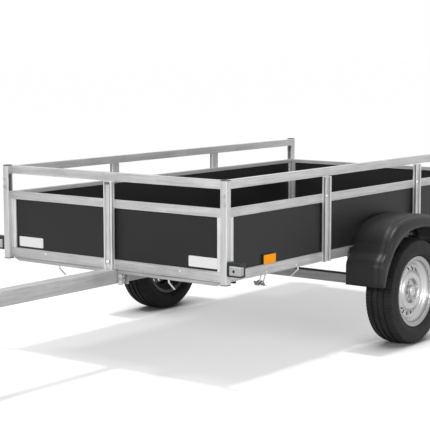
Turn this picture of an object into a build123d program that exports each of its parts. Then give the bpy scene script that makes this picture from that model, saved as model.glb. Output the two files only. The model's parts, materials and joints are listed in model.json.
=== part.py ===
"""Single-axle utility trailer: open load box with an upper rail, mudguards and a straight drawbar."""
import os
from math import cos, radians, sin

from build123d import *

os.makedirs("parts", exist_ok=True)

# Frame: millimetres, +X towards the coupling, +Y to the trailer's left, +Z up, ground at Z = 0.
# X sizes are measured from the outer plane of the front rails; FRONT_X puts that plane in the
# frame, whose origin lies under the middle of the bounding box.

# ---- load box ----
BED_Z = 488.0            # underside of the bottom rails
HALF_W = 690.0           # outer plane of the side rails
BOX_L = 2556.0           # front rails to tailgate, over their outer planes
RAIL_T = 30.0
BOTTOM_H = 48.0
BOARD_RAIL_H = 38.0
LID_H = 20.0             # part of a board rail that reaches over the board
TOP_RAIL_H = 40.0
BOARD_H = 335.0          # underside of the bottom rails to the top of the boards
TOP_H = 466.0            # underside of the bottom rails to the top of the upper rail
PANEL_T = 12.0
PANEL_IN = 8.0           # board face behind the rail face
EDGE_W = 25.0            # cover strip over a board's end
EDGE_IN_W = 22.0         # strip inside the side boards, by the tailgate
EDGE_IN_T = 3.0
FLOOR_T = 12.0
CROSS_H = 24.0           # cross member depth, floor to the underside of the rails
CROSS_W = 40.0
CROSS_WALL = 3.0
CROSS_COUNT = 6
CROSS_FRONT = 430.0      # first cross member behind the front rails
CROSS_REAR = 80.0        # last one ahead of the tailgate

# ---- posts ----
TUBE_W = 36.0            # square corner post
TUBE_WALL = 3.0
TUBE_R = 4.0
FOOT_DROP = 6.0          # corner post below the rails
WINDOW_GAP = 2.0         # rails to the open window in a corner post
WINDOW_W = 24.0
PROUD = 21.0             # corner post outside the rail faces
POST_W = 53.0            # board post
POST_D = 21.0
POST_WALL = 3.0
TRACK_W = 28.0           # open track down the post's face
TRACK_D = 10.0
NECK_IN = 3.0            # groove down each side of the post, behind its lips
NECK_H = 8.0
LIP_T = 2.5
SIDE_POST_X = (-825.0, -1737.0)
CAP_T = 4.0

# ---- running gear ----
WHEEL_X = -1379.0
WHEEL_R = 278.5
TYRE_W = 168.0
RIM_R = 184.5            # 13-inch rim over its flanges
TYRE_GAP = 40.0          # corner post face to tyre
ARM_REACH = 150.0        # axle beam ahead of the wheel centre
ARM_RISE = 59.0          # axle beam above the wheel centre
BEAM_S = 50.0
BEAM_R = 5.0
ARM_R = 30.0
ARM_T = 24.0
STUB_R = 15.0
BRACKET_T = 6.0
RUN = 0.05               # radial clearance of a running fit
SKIN = 0.3               # gap between faces that move past each other

# ---- mudguard, seen from the side about the wheel centre ----
GUARD_R = 403.0          # height of the crown
HAUNCH = (200.0, 370.0)  # where the flat crown passes into the tighter haunch
HAUNCH_MID = (264.0, 326.0)
HAUNCH_END = (321.0, 264.0)
NECK = (326.0, 212.0)    # foot of the arch, above the end panel
GUARD_T = 4.0
GUARD_END = 365.0        # flat end panel ahead of and behind the wheel
GUARD_FOOT = 71.0
GUARD_KNEE = 181.0       # top of the flat end panel
GUARD_OPEN_R = 329.0     # wheel opening in the outer side
SHOULDER_W = 50.0        # rounded band along the outer edge
SHOULDER_DROP = 20.0
SHOULDER = ((0.0, 0.0), (0.45, 0.12), (0.8, 0.45), (1.0, 1.0))    # shares of its width and its drop
GUARD_LIP = 34.0
GUARD_BEND = 26.0        # bend between the arch and each end panel

# ---- drawbar and coupling ----
BAR_S = 70.0
BAR_WALL = 4.0
BAR_R = 6.0
BAR_X = 1190.0           # front end of the drawbar
SLEEVE_L = 120.0         # coupling over the drawbar's end
BAR_TAIL = 110.0         # drawbar behind the axle beam
BALL_R = 25.3            # socket for a 50 mm ball
BALL_X = 1312.0
HEAD_R = 36.0
HEAD_WALL = 4.0

# ---- jockey wheel ----
OUTER_R = 24.0
INNER_R = 19.0
OUTER_L = 400.0
INNER_L = 350.0
SCREW_OUT = 116.0        # inner tube showing below the outer one as it stands
CLAMP_H = 60.0
CLAMP_HALF = 45.0        # half the length of the clamp's plate
CLAMP_GAP = 10.0         # plate to the coupling's sleeve
CLAMP_WALL = 7.0
ROLLER_R = 100.0
ROLLER_W = 50.0
TRAIL = 42.0
FORK_T = 5.0
CROWN_T = 14.0
PIVOT_R = 12.0

# ---- tailgate, lamps, hooks ----
GATE_GAP = 6.0
GATE_FRAME = 30.0
LEAF_H = 50.0            # hinge leaf up the tailgate
LEVER_L = 70.0           # latch lever below its plate
PIN_R = 3.5
KNUCKLE_R = 8.0
HINGE_Y = (-500.0, 0.0, 500.0)
LAMP_DROP = 118.0
TAIL = 60.0              # rear lamps behind the tailgate
HOOK_R = 4.0

# ---- places worked out from the sizes above ----
FRONT_X = -(BALL_X + HEAD_R - BOX_L - TAIL) / 2
REAR_X = -BOX_L
RAIL_IN = HALF_W - RAIL_T
TUBE_IN = HALF_W + PROUD - TUBE_W
BOARD_Z = BED_Z + BOARD_H
TOP_Z = BED_Z + TOP_H
FLOOR_Z = BED_Z + CROSS_H
WHEEL_Z = WHEEL_R
HALF_TRACK = HALF_W + PROUD + TYRE_GAP + TYRE_W / 2
BEAM_X = WHEEL_X + ARM_REACH
BEAM_Z = WHEEL_Z + ARM_RISE
BAR_HALF = BAR_S / 2
JOCKEY_X = BAR_X - SLEEVE_L - CLAMP_GAP - CLAMP_HALF


def block(x, y, z):
    """Box from pairs of limits in either order; x is measured from the front rail plane."""
    lows = [min(pair) for pair in (x, y, z)]
    highs = [max(pair) for pair in (x, y, z)]
    size = [high - low for low, high in zip(lows, highs)]
    mid = [(high + low) / 2 for low, high in zip(lows, highs)]
    return Pos(mid[0] + FRONT_X, mid[1], mid[2]) * Box(*size)


def rod(start, end, radius):
    """Round bar between two points."""
    a = Vector(start[0] + FRONT_X, start[1], start[2])
    b = Vector(end[0] + FRONT_X, end[1], end[2])
    return Plane(origin=(a + b) / 2, z_dir=b - a) * Cylinder(radius, (b - a).length)


def both_sides(*shapes):
    """The shapes and their twins on the other side of the centre plane."""
    return [*shapes, *[shape.mirror(Plane.XZ) for shape in shapes]]


def prism(points, plane, length):
    """Closed polygon on a plane, pushed along the plane's normal."""
    return extrude(plane * make_face(Polyline(*points, close=True)), length)


def side_view(y):
    """Plane for a side view drawn as (x, z), whose normal points to the right; x from the front rails."""
    return Plane(origin=(FRONT_X, y, 0), x_dir=(1, 0, 0), z_dir=(0, -1, 0))


def turned(points, x, y, z):
    """Solid of revolution about an axle along Y, from (radius, offset to the left) points."""
    plane = Plane(origin=(x + FRONT_X, y, z), x_dir=(1, 0, 0), z_dir=(0, 0, 1))
    return revolve(plane * make_face(Polyline(*points, close=True)), Axis(plane.origin, (0, 1, 0)))


def save(name, *shapes):
    """Write one node; solids that don't touch stay separate inside it."""
    solids = [solid for shape in shapes for solid in shape.solids()]
    export_step(solids[0] if len(solids) == 1 else Compound(children=solids), f"parts/{name}.step")


# ------------------------------------------------------------------ corner posts and caps
CORNERS = [(end, side) for end in (1, -1) for side in (1, -1)]    # end: 1 front, -1 rear


def corner_box(end, side, z, inset=0.0):
    """Square block on a corner post's section, drawn inside it by an inset."""
    face = (0.0 if end > 0 else REAR_X) + end * PROUD
    x = (face - end * inset, face - end * (TUBE_W - inset))
    y = (side * (HALF_W + PROUD - inset), side * (TUBE_IN + inset))
    corner = block(x, y, z)
    return fillet(corner.edges().filter_by(Axis.Z), TUBE_R - inset)


posts = []
caps = []
post_z = (BED_Z - FOOT_DROP, TOP_Z)
window_z = (BOARD_Z + WINDOW_GAP, TOP_Z - TOP_RAIL_H - WINDOW_GAP)
reach = WINDOW_W / 2
for end, side in CORNERS:
    post = corner_box(end, side, post_z) - corner_box(end, side, post_z, TUBE_WALL)
    x = (0.0 if end > 0 else REAR_X) + end * (PROUD - TUBE_W / 2)
    y = side * (HALF_W + PROUD - TUBE_W / 2)
    if end > 0:
        post -= block((x - reach, x + reach), (y, y - side * TUBE_W), window_z)
    else:
        post -= block((x, x + TUBE_W), (y - reach, y + reach), window_z)
    posts.append(post)
    cap = corner_box(end, side, (TOP_Z, TOP_Z + CAP_T))
    caps.append(chamfer(cap.faces().sort_by(Axis.Z)[-1].edges(), CAP_T / 3))
    caps.append(corner_box(end, side, (post_z[0] - CAP_T, post_z[0])))
save("corner_posts", *posts)
save("post_caps", *caps)

# ------------------------------------------------------------------ board posts
# section of the roll-formed post: across its face, then out from the rails
half = POST_W / 2
lip_in = POST_D - LIP_T
right_half = [(half, 0), (half, lip_in - NECK_H), (half - NECK_IN, lip_in - NECK_H), (half - NECK_IN, lip_in),
              (half, lip_in), (half, POST_D), (TRACK_W / 2, POST_D), (TRACK_W / 2, POST_D - TRACK_D)]
post_points = right_half + [(-across, out) for across, out in reversed(right_half)]
POST_H = TOP_H - TOP_RAIL_H


def board_post(plane):
    """Hollow post that stands against the outside of the rails, its track facing out."""
    inner_w = half - NECK_IN - POST_WALL
    inner_d = POST_D - TRACK_D - POST_WALL
    hollow = [(-inner_w, POST_WALL), (inner_w, POST_WALL), (inner_w, inner_d), (-inner_w, inner_d)]
    return prism(post_points, plane, POST_H) - prism(hollow, plane, POST_H)


side_posts = []
for x in SIDE_POST_X:
    plane = Plane(origin=(x + FRONT_X, HALF_W, BED_Z), x_dir=(1, 0, 0), z_dir=(0, 0, 1))
    side_posts += both_sides(board_post(plane))
save("side_posts", *side_posts)
save("front_post", board_post(Plane(origin=(FRONT_X, 0, BED_Z), x_dir=(0, -1, 0), z_dir=(0, 0, 1))))

# ------------------------------------------------------------------ rails
# The front rails run between the corner tubes. The side rails do too, and are notched on the
# inside where the front rail, the sill or the tailgate passes.
LINE_IN = 4.0            # shallow line along each edge of a rail's face
LINE_D = 1.0
FLANGE_IN = RAIL_T - PANEL_IN


def rail_points(height, lid_h):
    """Rail section drawn as (out, up); a lid shorter than the rail leaves only its outer flange below."""
    low = [(RAIL_T, 0), (RAIL_T, LINE_IN), (RAIL_T - LINE_D, LINE_IN + LINE_D), (RAIL_T, LINE_IN + 2 * LINE_D)]
    high = [(out, height - up) for out, up in reversed(low)]
    inner = [(0, 0)] if lid_h == height else [(0, height - lid_h), (FLANGE_IN, height - lid_h), (FLANGE_IN, 0)]
    return [*inner, *low, *high, (0, height)]


def side_rail(z, height, lid_h, rear_notch):
    """Left rail from tube to tube, notched at its front end and by rear_notch at its rear end."""
    start = REAR_X - PROUD + TUBE_W
    length = PROUD - TUBE_W - start
    plane = Plane(origin=(start + FRONT_X, RAIL_IN, z), x_dir=(0, 1, 0), z_dir=(1, 0, 0))
    rail = prism(rail_points(height, lid_h), plane, length)
    notch_y = (RAIL_IN, TUBE_IN)
    rail -= block((-RAIL_T, 0), notch_y, (z, z + height))
    if rear_notch:
        rail -= block((REAR_X, REAR_X + rear_notch), notch_y, (z, z + height))
    return rail


def cross_rail(z, height, lid_h, face_x, out):
    """Rail across the box with its face at face_x, looking forward (out 1) or back (out -1)."""
    plane = Plane(origin=(face_x - out * RAIL_T + FRONT_X, out * TUBE_IN, z), x_dir=(out, 0, 0),
                  z_dir=(0, -out, 0))
    return prism(rail_points(height, lid_h), plane, 2 * TUBE_IN)


GATE_NOTCH = RAIL_T + GATE_GAP
for name, z, height, lid_h, rear_notch in (
        ("bottom_rails", BED_Z, BOTTOM_H, BOTTOM_H, RAIL_T),
        ("board_rails", BOARD_Z - BOARD_RAIL_H, BOARD_RAIL_H, LID_H, GATE_NOTCH),
        ("top_rails", TOP_Z - TOP_RAIL_H, TOP_RAIL_H, TOP_RAIL_H, 0.0)):
    save(name, *both_sides(side_rail(z, height, lid_h, rear_notch)), cross_rail(z, height, lid_h, 0.0, 1))
save("rear_sill", cross_rail(BED_Z, BOTTOM_H, BOTTOM_H, REAR_X, -1))

# ------------------------------------------------------------------ boards and floor
BOARD_ZS = (BED_Z + BOTTOM_H, BOARD_Z - LID_H)
PANEL_OUT = HALF_W - PANEL_IN
side_panel = block((PROUD - TUBE_W, REAR_X + GATE_NOTCH), (PANEL_OUT - PANEL_T, PANEL_OUT), BOARD_ZS)
save("side_panel_left", side_panel)
save("side_panel_right", side_panel.mirror(Plane.XZ))
front_y = PANEL_OUT - PANEL_T
save("front_panel", block((-PANEL_IN - PANEL_T, -PANEL_IN), (-front_y, front_y), BOARD_ZS))
save("floor", block((REAR_X + RAIL_T, -RAIL_T), (-RAIL_IN, RAIL_IN), (FLOOR_Z, FLOOR_Z + FLOOR_T)))

tube_rear, tube_front = REAR_X - PROUD + TUBE_W, PROUD - TUBE_W
outer_z = (BED_Z + BOTTOM_H, BOARD_Z - BOARD_RAIL_H)
inner_x, inner_y = REAR_X + GATE_NOTCH, PANEL_OUT - PANEL_T
strips = both_sides(
    block((-PANEL_IN, 0), (TUBE_IN - EDGE_W, TUBE_IN), outer_z),
    block((tube_front - EDGE_W, tube_front), (PANEL_OUT, HALF_W), outer_z),
    block((tube_rear, tube_rear + EDGE_W), (PANEL_OUT, HALF_W), outer_z),
    block((inner_x, inner_x + EDGE_IN_W), (inner_y - EDGE_IN_T, inner_y), BOARD_ZS))
save("board_edges", *strips)

# ------------------------------------------------------------------ cross members
members = []
cross_step = (BOX_L - CROSS_REAR - CROSS_FRONT) / (CROSS_COUNT - 1)
for step in range(CROSS_COUNT):
    x = -CROSS_FRONT - step * cross_step
    low, high = x - CROSS_W / 2, x + CROSS_W / 2
    member = block((low, high), (-RAIL_IN, RAIL_IN), (BED_Z, FLOOR_Z))
    channel = block((low + CROSS_WALL, high), (-RAIL_IN, RAIL_IN), (BED_Z + CROSS_WALL, FLOOR_Z - CROSS_WALL))
    members.append(member - channel)
save("cross_members", *members)

FRONT_MEMBER_H = 20.0
FRONT_MEMBER_D = 42.0
FRONT_MEMBER_END = 42.0  # slope at each end
member_y = TUBE_IN - 2
low_y = member_y - FRONT_MEMBER_END
member_low = BED_Z - FRONT_MEMBER_H
member_points = [(-member_y, BED_Z), (-low_y, member_low), (low_y, member_low), (member_y, BED_Z)]
member_plane = Plane(origin=(FRONT_X - 4, 0, 0), x_dir=(0, -1, 0), z_dir=(-1, 0, 0))
front_member = prism(member_points, member_plane, FRONT_MEMBER_D)
front_member = fillet(front_member.edges().filter_by(Axis.Y).group_by(Axis.Z)[0], 6)
groove_z = (BED_Z - 4, BED_Z)
front_member -= block((-9, 0), (-member_y, member_y), groove_z)
bar_slot = BAR_HALF + 2
front_member -= block((-BOX_L, BOX_L), (-bar_slot, bar_slot), (BED_Z - FRONT_MEMBER_H, BED_Z))
save("front_cross_member", front_member)

# ------------------------------------------------------------------ drawbar and its brackets
BAR_ZS = (BED_Z - BAR_S, BED_Z)
BAR_XS = (BEAM_X - BAR_TAIL, BAR_X)
bar = block(BAR_XS, (-BAR_HALF, BAR_HALF), BAR_ZS)
bar = fillet(bar.edges().filter_by(Axis.X), BAR_R)
bore = block(BAR_XS, (BAR_WALL - BAR_HALF, BAR_HALF - BAR_WALL), (BAR_ZS[0] + BAR_WALL, BAR_ZS[1] - BAR_WALL))
save("drawbar", bar - fillet(bore.edges().filter_by(Axis.X), BAR_R - BAR_WALL))

WING = 24.0              # bracket ears out from the drawbar's side
EAR_X = (-11.0, -57.0)
EAR_T = 5.0
ear_z = (BED_Z - BAR_S - 6, BED_Z - FRONT_MEMBER_H)
bracket = block((EAR_X[0], EAR_X[1] - EAR_T), (BAR_HALF, BAR_HALF + EAR_T), ear_z)
for x in EAR_X:
    bracket += block((x, x - EAR_T), (BAR_HALF, BAR_HALF + WING), ear_z)
save("drawbar_brackets", *both_sides(bracket))

# ------------------------------------------------------------------ axle
BEAM_HALF = BEAM_S / 2
BEAM_XS = (BEAM_X - BEAM_HALF, BEAM_X + BEAM_HALF)
BEAM_ZS = (BEAM_Z - BEAM_HALF, BEAM_Z + BEAM_HALF)
BEAM_END = HALF_W - 18
beam = block(BEAM_XS, (-BEAM_END, BEAM_END), BEAM_ZS)
save("axle_beam", fillet(beam.edges().filter_by(Axis.Y), BEAM_R))

SADDLE_W = 20.0          # saddle beyond the drawbar's sides
saddle = block((BEAM_X - 40, BEAM_X + 40), (-BAR_HALF - SADDLE_W, BAR_HALF + SADDLE_W), (BEAM_ZS[1], BAR_ZS[0]))
save("axle_saddle", saddle)

# Each bracket hangs a tapering plate from a foot under the side rail and holds the beam in a slot.
PLATE_Y = RAIL_IN - 20
TOP_HALF, LOW_HALF = 110.0, 48.0
plate_points = [(BEAM_X - TOP_HALF, BED_Z), (BEAM_X + TOP_HALF, BED_Z),
                (BEAM_X + LOW_HALF, BEAM_ZS[0]), (BEAM_X - LOW_HALF, BEAM_ZS[0])]
plate = prism(plate_points, side_view(PLATE_Y), BRACKET_T)
plate -= block(BEAM_XS, (PLATE_Y - BRACKET_T, PLATE_Y), BEAM_ZS)
plate += block((BEAM_X - TOP_HALF, BEAM_X + TOP_HALF), (PLATE_Y, HALF_W - 2), (BED_Z - BRACKET_T, BED_Z))
save("axle_brackets", *both_sides(plate))

ARM_Y = (BEAM_END + 4, BEAM_END + 4 + ARM_T)
HUB_IN = 112.0           # inner end of the hub from the wheel's centre plane
arm_ends = [(BEAM_X, BEAM_Z), (WHEEL_X, WHEEL_Z)]
arm = rod((BEAM_X, BEAM_END, BEAM_Z), (BEAM_X, ARM_Y[0], BEAM_Z), BEAM_HALF - BEAM_R)
for x, z in arm_ends:
    arm += rod((x, ARM_Y[0], z), (x, ARM_Y[1], z), ARM_R)
reach = Vector(-ARM_REACH, -ARM_RISE)
across = Vector(-reach.Y, reach.X).normalized() * ARM_R * 0.8
beam_at, wheel_at = Vector(BEAM_X, BEAM_Z), Vector(WHEEL_X, WHEEL_Z)
web = [beam_at + across, wheel_at + across, wheel_at - across, beam_at - across]
arm += prism(web, side_view(ARM_Y[1]), ARM_T)
STUB_END = HALF_TRACK - 33
arm += rod((WHEEL_X, ARM_Y[1], WHEEL_Z), (WHEEL_X, STUB_END, WHEEL_Z), STUB_R)
save("axle_arms", *both_sides(arm))

# ------------------------------------------------------------------ tyres
# half sections from the bead out to the crown, as (radius, offset)
tyre_w = TYRE_W / 2
BEAD_R = RIM_R - 15.5
outside = [(BEAD_R, 60.5), (RIM_R + 1.5, 62.2), (RIM_R + 8, 74), (RIM_R + 34, tyre_w),
           (WHEEL_R - 30, tyre_w - 4), (WHEEL_R - 11, tyre_w - 17), (WHEEL_R, tyre_w - 42)]
inside = [(WHEEL_R - 13, tyre_w - 38), (RIM_R + 40, tyre_w - 10), (BEAD_R, 48)]
ring = outside + [(r, -offset) for r, offset in reversed(outside)]
ring += [(r, -offset) for r, offset in reversed(inside)] + inside
tyre = turned(ring, WHEEL_X, HALF_TRACK, WHEEL_Z)
save("tyre_left", tyre)
save("tyre_right", tyre.mirror(Plane.XZ))

# ------------------------------------------------------------------ wheel discs
# One pressed section, as (radius, offset): the rim's tyre side from the outboard flange inwards,
# its inner side back to the weld, the disc's inner face to the centre, then its outer face out.
rim = [(RIM_R, 69), (RIM_R, 63), (RIM_R - 16.3, 61), (RIM_R - 18.5, 42), (RIM_R - 32.5, 36),
       (RIM_R - 42.5, 20), (RIM_R - 42.5, -10), (RIM_R - 22.5, -25), (RIM_R - 18.5, -42),
       (RIM_R - 16.3, -61), (RIM_R, -63), (RIM_R, -69), (RIM_R - 4.5, -69), (RIM_R - 20.5, -64),
       (RIM_R - 23.5, -44), (RIM_R - 28.5, -28), (RIM_R - 47.5, -12), (RIM_R - 47.5, 14)]
disc_back = [(129, 21), (105, 28), (97, 39), (84, 45), (70, 40), (62, 20), (34, 16), (28, 20), (26, 40), (0, 45)]
disc_face = [(0, 50), (20, 48), (29, 42), (32, 21), (58, 24), (66, 44), (84, 50), (100, 43), (107, 33), (132, 26)]
outboard = [(RIM_R - 43.5, 31), (RIM_R - 36.5, 40), (RIM_R - 22.5, 46), (RIM_R - 20.5, 64), (RIM_R - 4.5, 69)]
wheel = turned(rim + disc_back + disc_face + outboard, WHEEL_X, HALF_TRACK, WHEEL_Z)
SLOT_R, SLOT_L, SLOT_W, SLOT_LEAN = 120.0, 24.0, 10.0, 28.0
SLOT_GROUPS, SLOTS, SLOT_STEP = 2, 3, 20.0
SLOT_TURN = -12.0        # middle slot from the wheel's top
for group in range(SLOT_GROUPS):
    for slot in range(SLOTS):
        turn = radians(SLOT_TURN + group * 360 / SLOT_GROUPS + (slot - (SLOTS - 1) / 2) * SLOT_STEP)
        lean = turn + radians(SLOT_LEAN)
        at = (WHEEL_X + FRONT_X + SLOT_R * sin(turn), HALF_TRACK + 30, WHEEL_Z + SLOT_R * cos(turn))
        plane = Plane(origin=at, x_dir=(sin(lean), 0, cos(lean)), z_dir=(0, 1, 0))
        slot_face = chamfer(Rectangle(SLOT_L, SLOT_W).vertices(), SLOT_W / 3)
        wheel -= extrude(plane * slot_face, SLOT_L, both=True)
# two round holes between the groups, on each side
HOLE_R, HOLE_TURNS = 6.0, (76.0, 96.0, 256.0, 276.0)
for turn in HOLE_TURNS:
    x, z = WHEEL_X + SLOT_R * sin(radians(turn)), WHEEL_Z + SLOT_R * cos(radians(turn))
    wheel -= rod((x, HALF_TRACK, z), (x, HALF_TRACK + 60, z), HOLE_R)
save("wheel_disc_left", wheel)
save("wheel_disc_right", wheel.mirror(Plane.XZ))

# hub: bearing barrel on the stub, bolting flange against the disc
bore_r = STUB_R + RUN
hub_points = [(bore_r, -HUB_IN), (42, -HUB_IN), (42, -60), (34, -50), (34, -2), (60, -2), (60, 16 - SKIN),
              (24, 16 - SKIN), (0, 16 - SKIN), (0, -30), (bore_r, -30)]
hub = turned(hub_points, WHEEL_X, HALF_TRACK, WHEEL_Z)
save("hub_left", hub)
save("hub_right", hub.mirror(Plane.XZ))

# ------------------------------------------------------------------ mudguards
GUARD_IN = HALF_W + PROUD + 2
GUARD_OUT = HALF_TRACK + tyre_w + 8


def guard_outline(inset, foot=GUARD_FOOT):
    """Side view of the guard about the wheel centre, drawn inside itself by an inset."""
    shrink = 1 - inset / GUARD_R
    start, mid, end = [(x * shrink, z * shrink) for x, z in (HAUNCH, HAUNCH_MID, HAUNCH_END)]
    right = [end, (NECK[0] - inset, NECK[1] - inset / 2), (GUARD_END - inset, GUARD_KNEE - inset / 2),
             (GUARD_END - inset, foot)]
    left = [(-x, z) for x, z in reversed(right)]
    far_start, far_mid, far_end = [(-x, z) for x, z in (start, mid, end)]
    arcs = [ThreePointArc(start, mid, end), ThreePointArc(far_end, far_mid, far_start)]
    arcs.append(ThreePointArc(far_start, (0, GUARD_R - inset), start))
    face = make_face([*arcs, Polyline(*right, *left)])
    knees = [v for v in face.vertices() if abs(v.Y - foot) > 1 and v.Y < start[1] - 1]
    return fillet(knees, GUARD_BEND)


def guard_solid(y_from, y_to, inset, foot=GUARD_FOOT):
    """The outline pushed to the left from one Y to another."""
    plane = Plane(origin=(WHEEL_X + FRONT_X, y_from, WHEEL_Z), x_dir=(1, 0, 0), z_dir=(0, -1, 0))
    return extrude(plane * guard_outline(inset, foot), y_from - y_to)


def guard_face(y, inset):
    plane = Plane(origin=(WHEEL_X + FRONT_X, y, WHEEL_Z), x_dir=(1, 0, 0), z_dir=(0, -1, 0))
    return plane * guard_outline(inset)


shoulder_y = GUARD_OUT - SHOULDER_W
below = GUARD_FOOT - 10
guard = guard_solid(GUARD_IN, shoulder_y, 0)
sections = [guard_face(shoulder_y + out * SHOULDER_W, down * SHOULDER_DROP) for out, down in SHOULDER]
guard += loft(sections, ruled=True)
guard -= guard_solid(GUARD_IN, GUARD_IN + GUARD_T, GUARD_LIP, below)
guard -= guard_solid(GUARD_IN + GUARD_T, shoulder_y, GUARD_T, below)
guard -= guard_solid(shoulder_y, GUARD_OUT - GUARD_T, GUARD_T + SHOULDER_DROP, below)
opening = Circle(GUARD_OPEN_R) + Rectangle(2 * (GUARD_END - 30), GUARD_OPEN_R, align=(Align.CENTER, Align.MAX))
opening_plane = Plane(origin=(WHEEL_X + FRONT_X, GUARD_OUT, WHEEL_Z), x_dir=(1, 0, 0), z_dir=(0, -1, 0))
guard -= extrude(opening_plane * opening, SHOULDER_W, both=True)
save("mudguard_left", guard)
save("mudguard_right", guard.mirror(Plane.XZ))

STAY_AT = 304.0          # stays ahead of and behind the wheel centre
STAY_W = 30.0
stays = []
for x in (WHEEL_X + STAY_AT, WHEEL_X - STAY_AT):
    stay_x = (x - STAY_W / 2, x + STAY_W / 2)
    stays += both_sides(block(stay_x, (HALF_W, GUARD_IN), (BED_Z + 8, BED_Z + 40)))
save("mudguard_stays", *stays)

# ------------------------------------------------------------------ coupling
BALL_Z = BED_Z - 52
head_top, head_low = BED_Z - 12, BALL_Z - 20
cheek = BAR_HALF + HEAD_WALL
sleeve_x = (BAR_X - SLEEVE_L, BAR_X + 12)
sleeve = block(sleeve_x, (-cheek, cheek), (BED_Z - BAR_S + 8, BED_Z + HEAD_WALL))
sleeve = fillet(sleeve.edges().filter_by(Axis.X).group_by(Axis.Z)[-1], BAR_R)
sleeve -= block((sleeve_x[0], BAR_X), (-BAR_HALF, BAR_HALF), BAR_ZS)
sleeve_top = BED_Z + HEAD_WALL
nose_x = BALL_X + HEAD_R
neck_points = [(BAR_X, -cheek), (BAR_X, cheek), (BALL_X, HEAD_R), (BALL_X, -HEAD_R)]
plan = prism([(x + FRONT_X, y) for x, y in neck_points], Plane.XY.offset(head_low), sleeve_top - head_low)
plan += rod((BALL_X, 0, head_low), (BALL_X, 0, sleeve_top), HEAD_R)
side_points = [(BAR_X, head_low + 14), (BAR_X, sleeve_top), (BAR_X + 16, sleeve_top), (BALL_X - 34, head_top),
               (BALL_X + 14, head_top), (nose_x + 1, head_top - 14), (nose_x + 1, head_low), (BALL_X - 44, head_low)]
head = plan & prism(side_points, side_view(HEAD_R + cheek), 2 * (HEAD_R + cheek))
socket = Pos(BALL_X + FRONT_X, 0, BALL_Z) * Sphere(BALL_R)
socket += rod((BALL_X, 0, head_low), (BALL_X, 0, BALL_Z), BALL_R)
save("coupling_head", sleeve + head - socket)
LEVER_W = 32.0
lever_points = [(BALL_X - 26, head_top), (BALL_X + 8, head_top), (BALL_X + 12, head_top + 16), (BALL_X, head_top + 34),
                (BAR_X - 20, head_top + 62), (BAR_X - 62, head_top + 60), (BAR_X - 62, head_top + 50),
                (BAR_X - 22, head_top + 48), (BALL_X - 26, head_top + 18)]
lever = prism(lever_points, side_view(LEVER_W / 2), LEVER_W)
save("coupling_handle", fillet(lever.edges().filter_by(Axis.Y), 3))

# ------------------------------------------------------------------ jockey wheel
JOCKEY_Y = BAR_HALF + 8 + 5 + OUTER_R
CLAMP_ZS = (BED_Z - CLAMP_H - 6, BED_Z - 6)
jockey_low = 2 * ROLLER_R + 22         # underside of the fork's crown
crown_top = jockey_low + CROWN_T
inner_low = crown_top + SKIN
outer_low = inner_low + SCREW_OUT
outer_top = outer_low + OUTER_L


def upright(z_low, z_high, radius, x=JOCKEY_X):
    """Round bar standing on the jockey wheel's axis, or at another x."""
    return rod((x, JOCKEY_Y, z_low), (x, JOCKEY_Y, z_high), radius)


clamp = upright(*CLAMP_ZS, OUTER_R + CLAMP_WALL)
clamp += block((JOCKEY_X - CLAMP_HALF, JOCKEY_X + CLAMP_HALF), (BAR_HALF, BAR_HALF + 8), CLAMP_ZS)
clamp += block((JOCKEY_X - 18, JOCKEY_X + 18), (BAR_HALF, JOCKEY_Y), CLAMP_ZS)
ear_out = JOCKEY_Y + OUTER_R + CLAMP_WALL + 20
clamp += block((JOCKEY_X - 12, JOCKEY_X + 12), (JOCKEY_Y, ear_out), CLAMP_ZS)
clamp -= upright(*CLAMP_ZS, OUTER_R + RUN)
clamp -= block((JOCKEY_X - 2, JOCKEY_X + 2), (JOCKEY_Y, ear_out), CLAMP_ZS)
screw_y, screw_z = ear_out - 9, sum(CLAMP_ZS) / 2
clamp += rod((JOCKEY_X - 22, screw_y, screw_z), (JOCKEY_X + 50, screw_y, screw_z), 5)
clamp += rod((JOCKEY_X + 50, screw_y, screw_z - 35), (JOCKEY_X + 50, screw_y, screw_z + 35), 5)
save("jockey_clamp", clamp)

tube = upright(outer_low, outer_top, OUTER_R) - upright(outer_low, outer_top - 4, INNER_R + RUN)
save("jockey_outer_tube", tube)
arm_x, arm_z = JOCKEY_X - 110, outer_top + 14
crank = upright(outer_top, arm_z + 8, 14) + upright(arm_z + 8, arm_z + 90, 12, arm_x)
crank += block((arm_x - 12, JOCKEY_X + 12), (JOCKEY_Y - 9, JOCKEY_Y + 9), (arm_z, arm_z + 8))
save("jockey_crank", crank)
inner = upright(inner_low, inner_low + INNER_L, INNER_R)
save("jockey_inner_tube", inner - upright(inner_low, inner_low + 30, PIVOT_R + RUN))

# fork: pivot up into the inner tube, crown, two raked cheeks and the roller's pin
axle_x = JOCKEY_X - TRAIL
cheek_in = ROLLER_W / 2 + 6
fork = upright(jockey_low, inner_low + 28, PIVOT_R) + upright(jockey_low, crown_top, INNER_R + 11)
cheek_points = [(JOCKEY_X - 28, crown_top), (JOCKEY_X + 28, crown_top), (axle_x + 16, ROLLER_R - 12),
                (axle_x - 16, ROLLER_R - 12)]
for y in (JOCKEY_Y - cheek_in, JOCKEY_Y + cheek_in + FORK_T):
    fork += prism(cheek_points, side_view(y), FORK_T)
cheek_out = cheek_in + FORK_T
fork += block((JOCKEY_X - 28, JOCKEY_X + 28), (JOCKEY_Y - cheek_out, JOCKEY_Y + cheek_out),
              (jockey_low, jockey_low + FORK_T))
fork += rod((axle_x, JOCKEY_Y - cheek_out - 5, ROLLER_R), (axle_x, JOCKEY_Y + cheek_out + 5, ROLLER_R), 8)
save("jockey_fork", fork)

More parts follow.
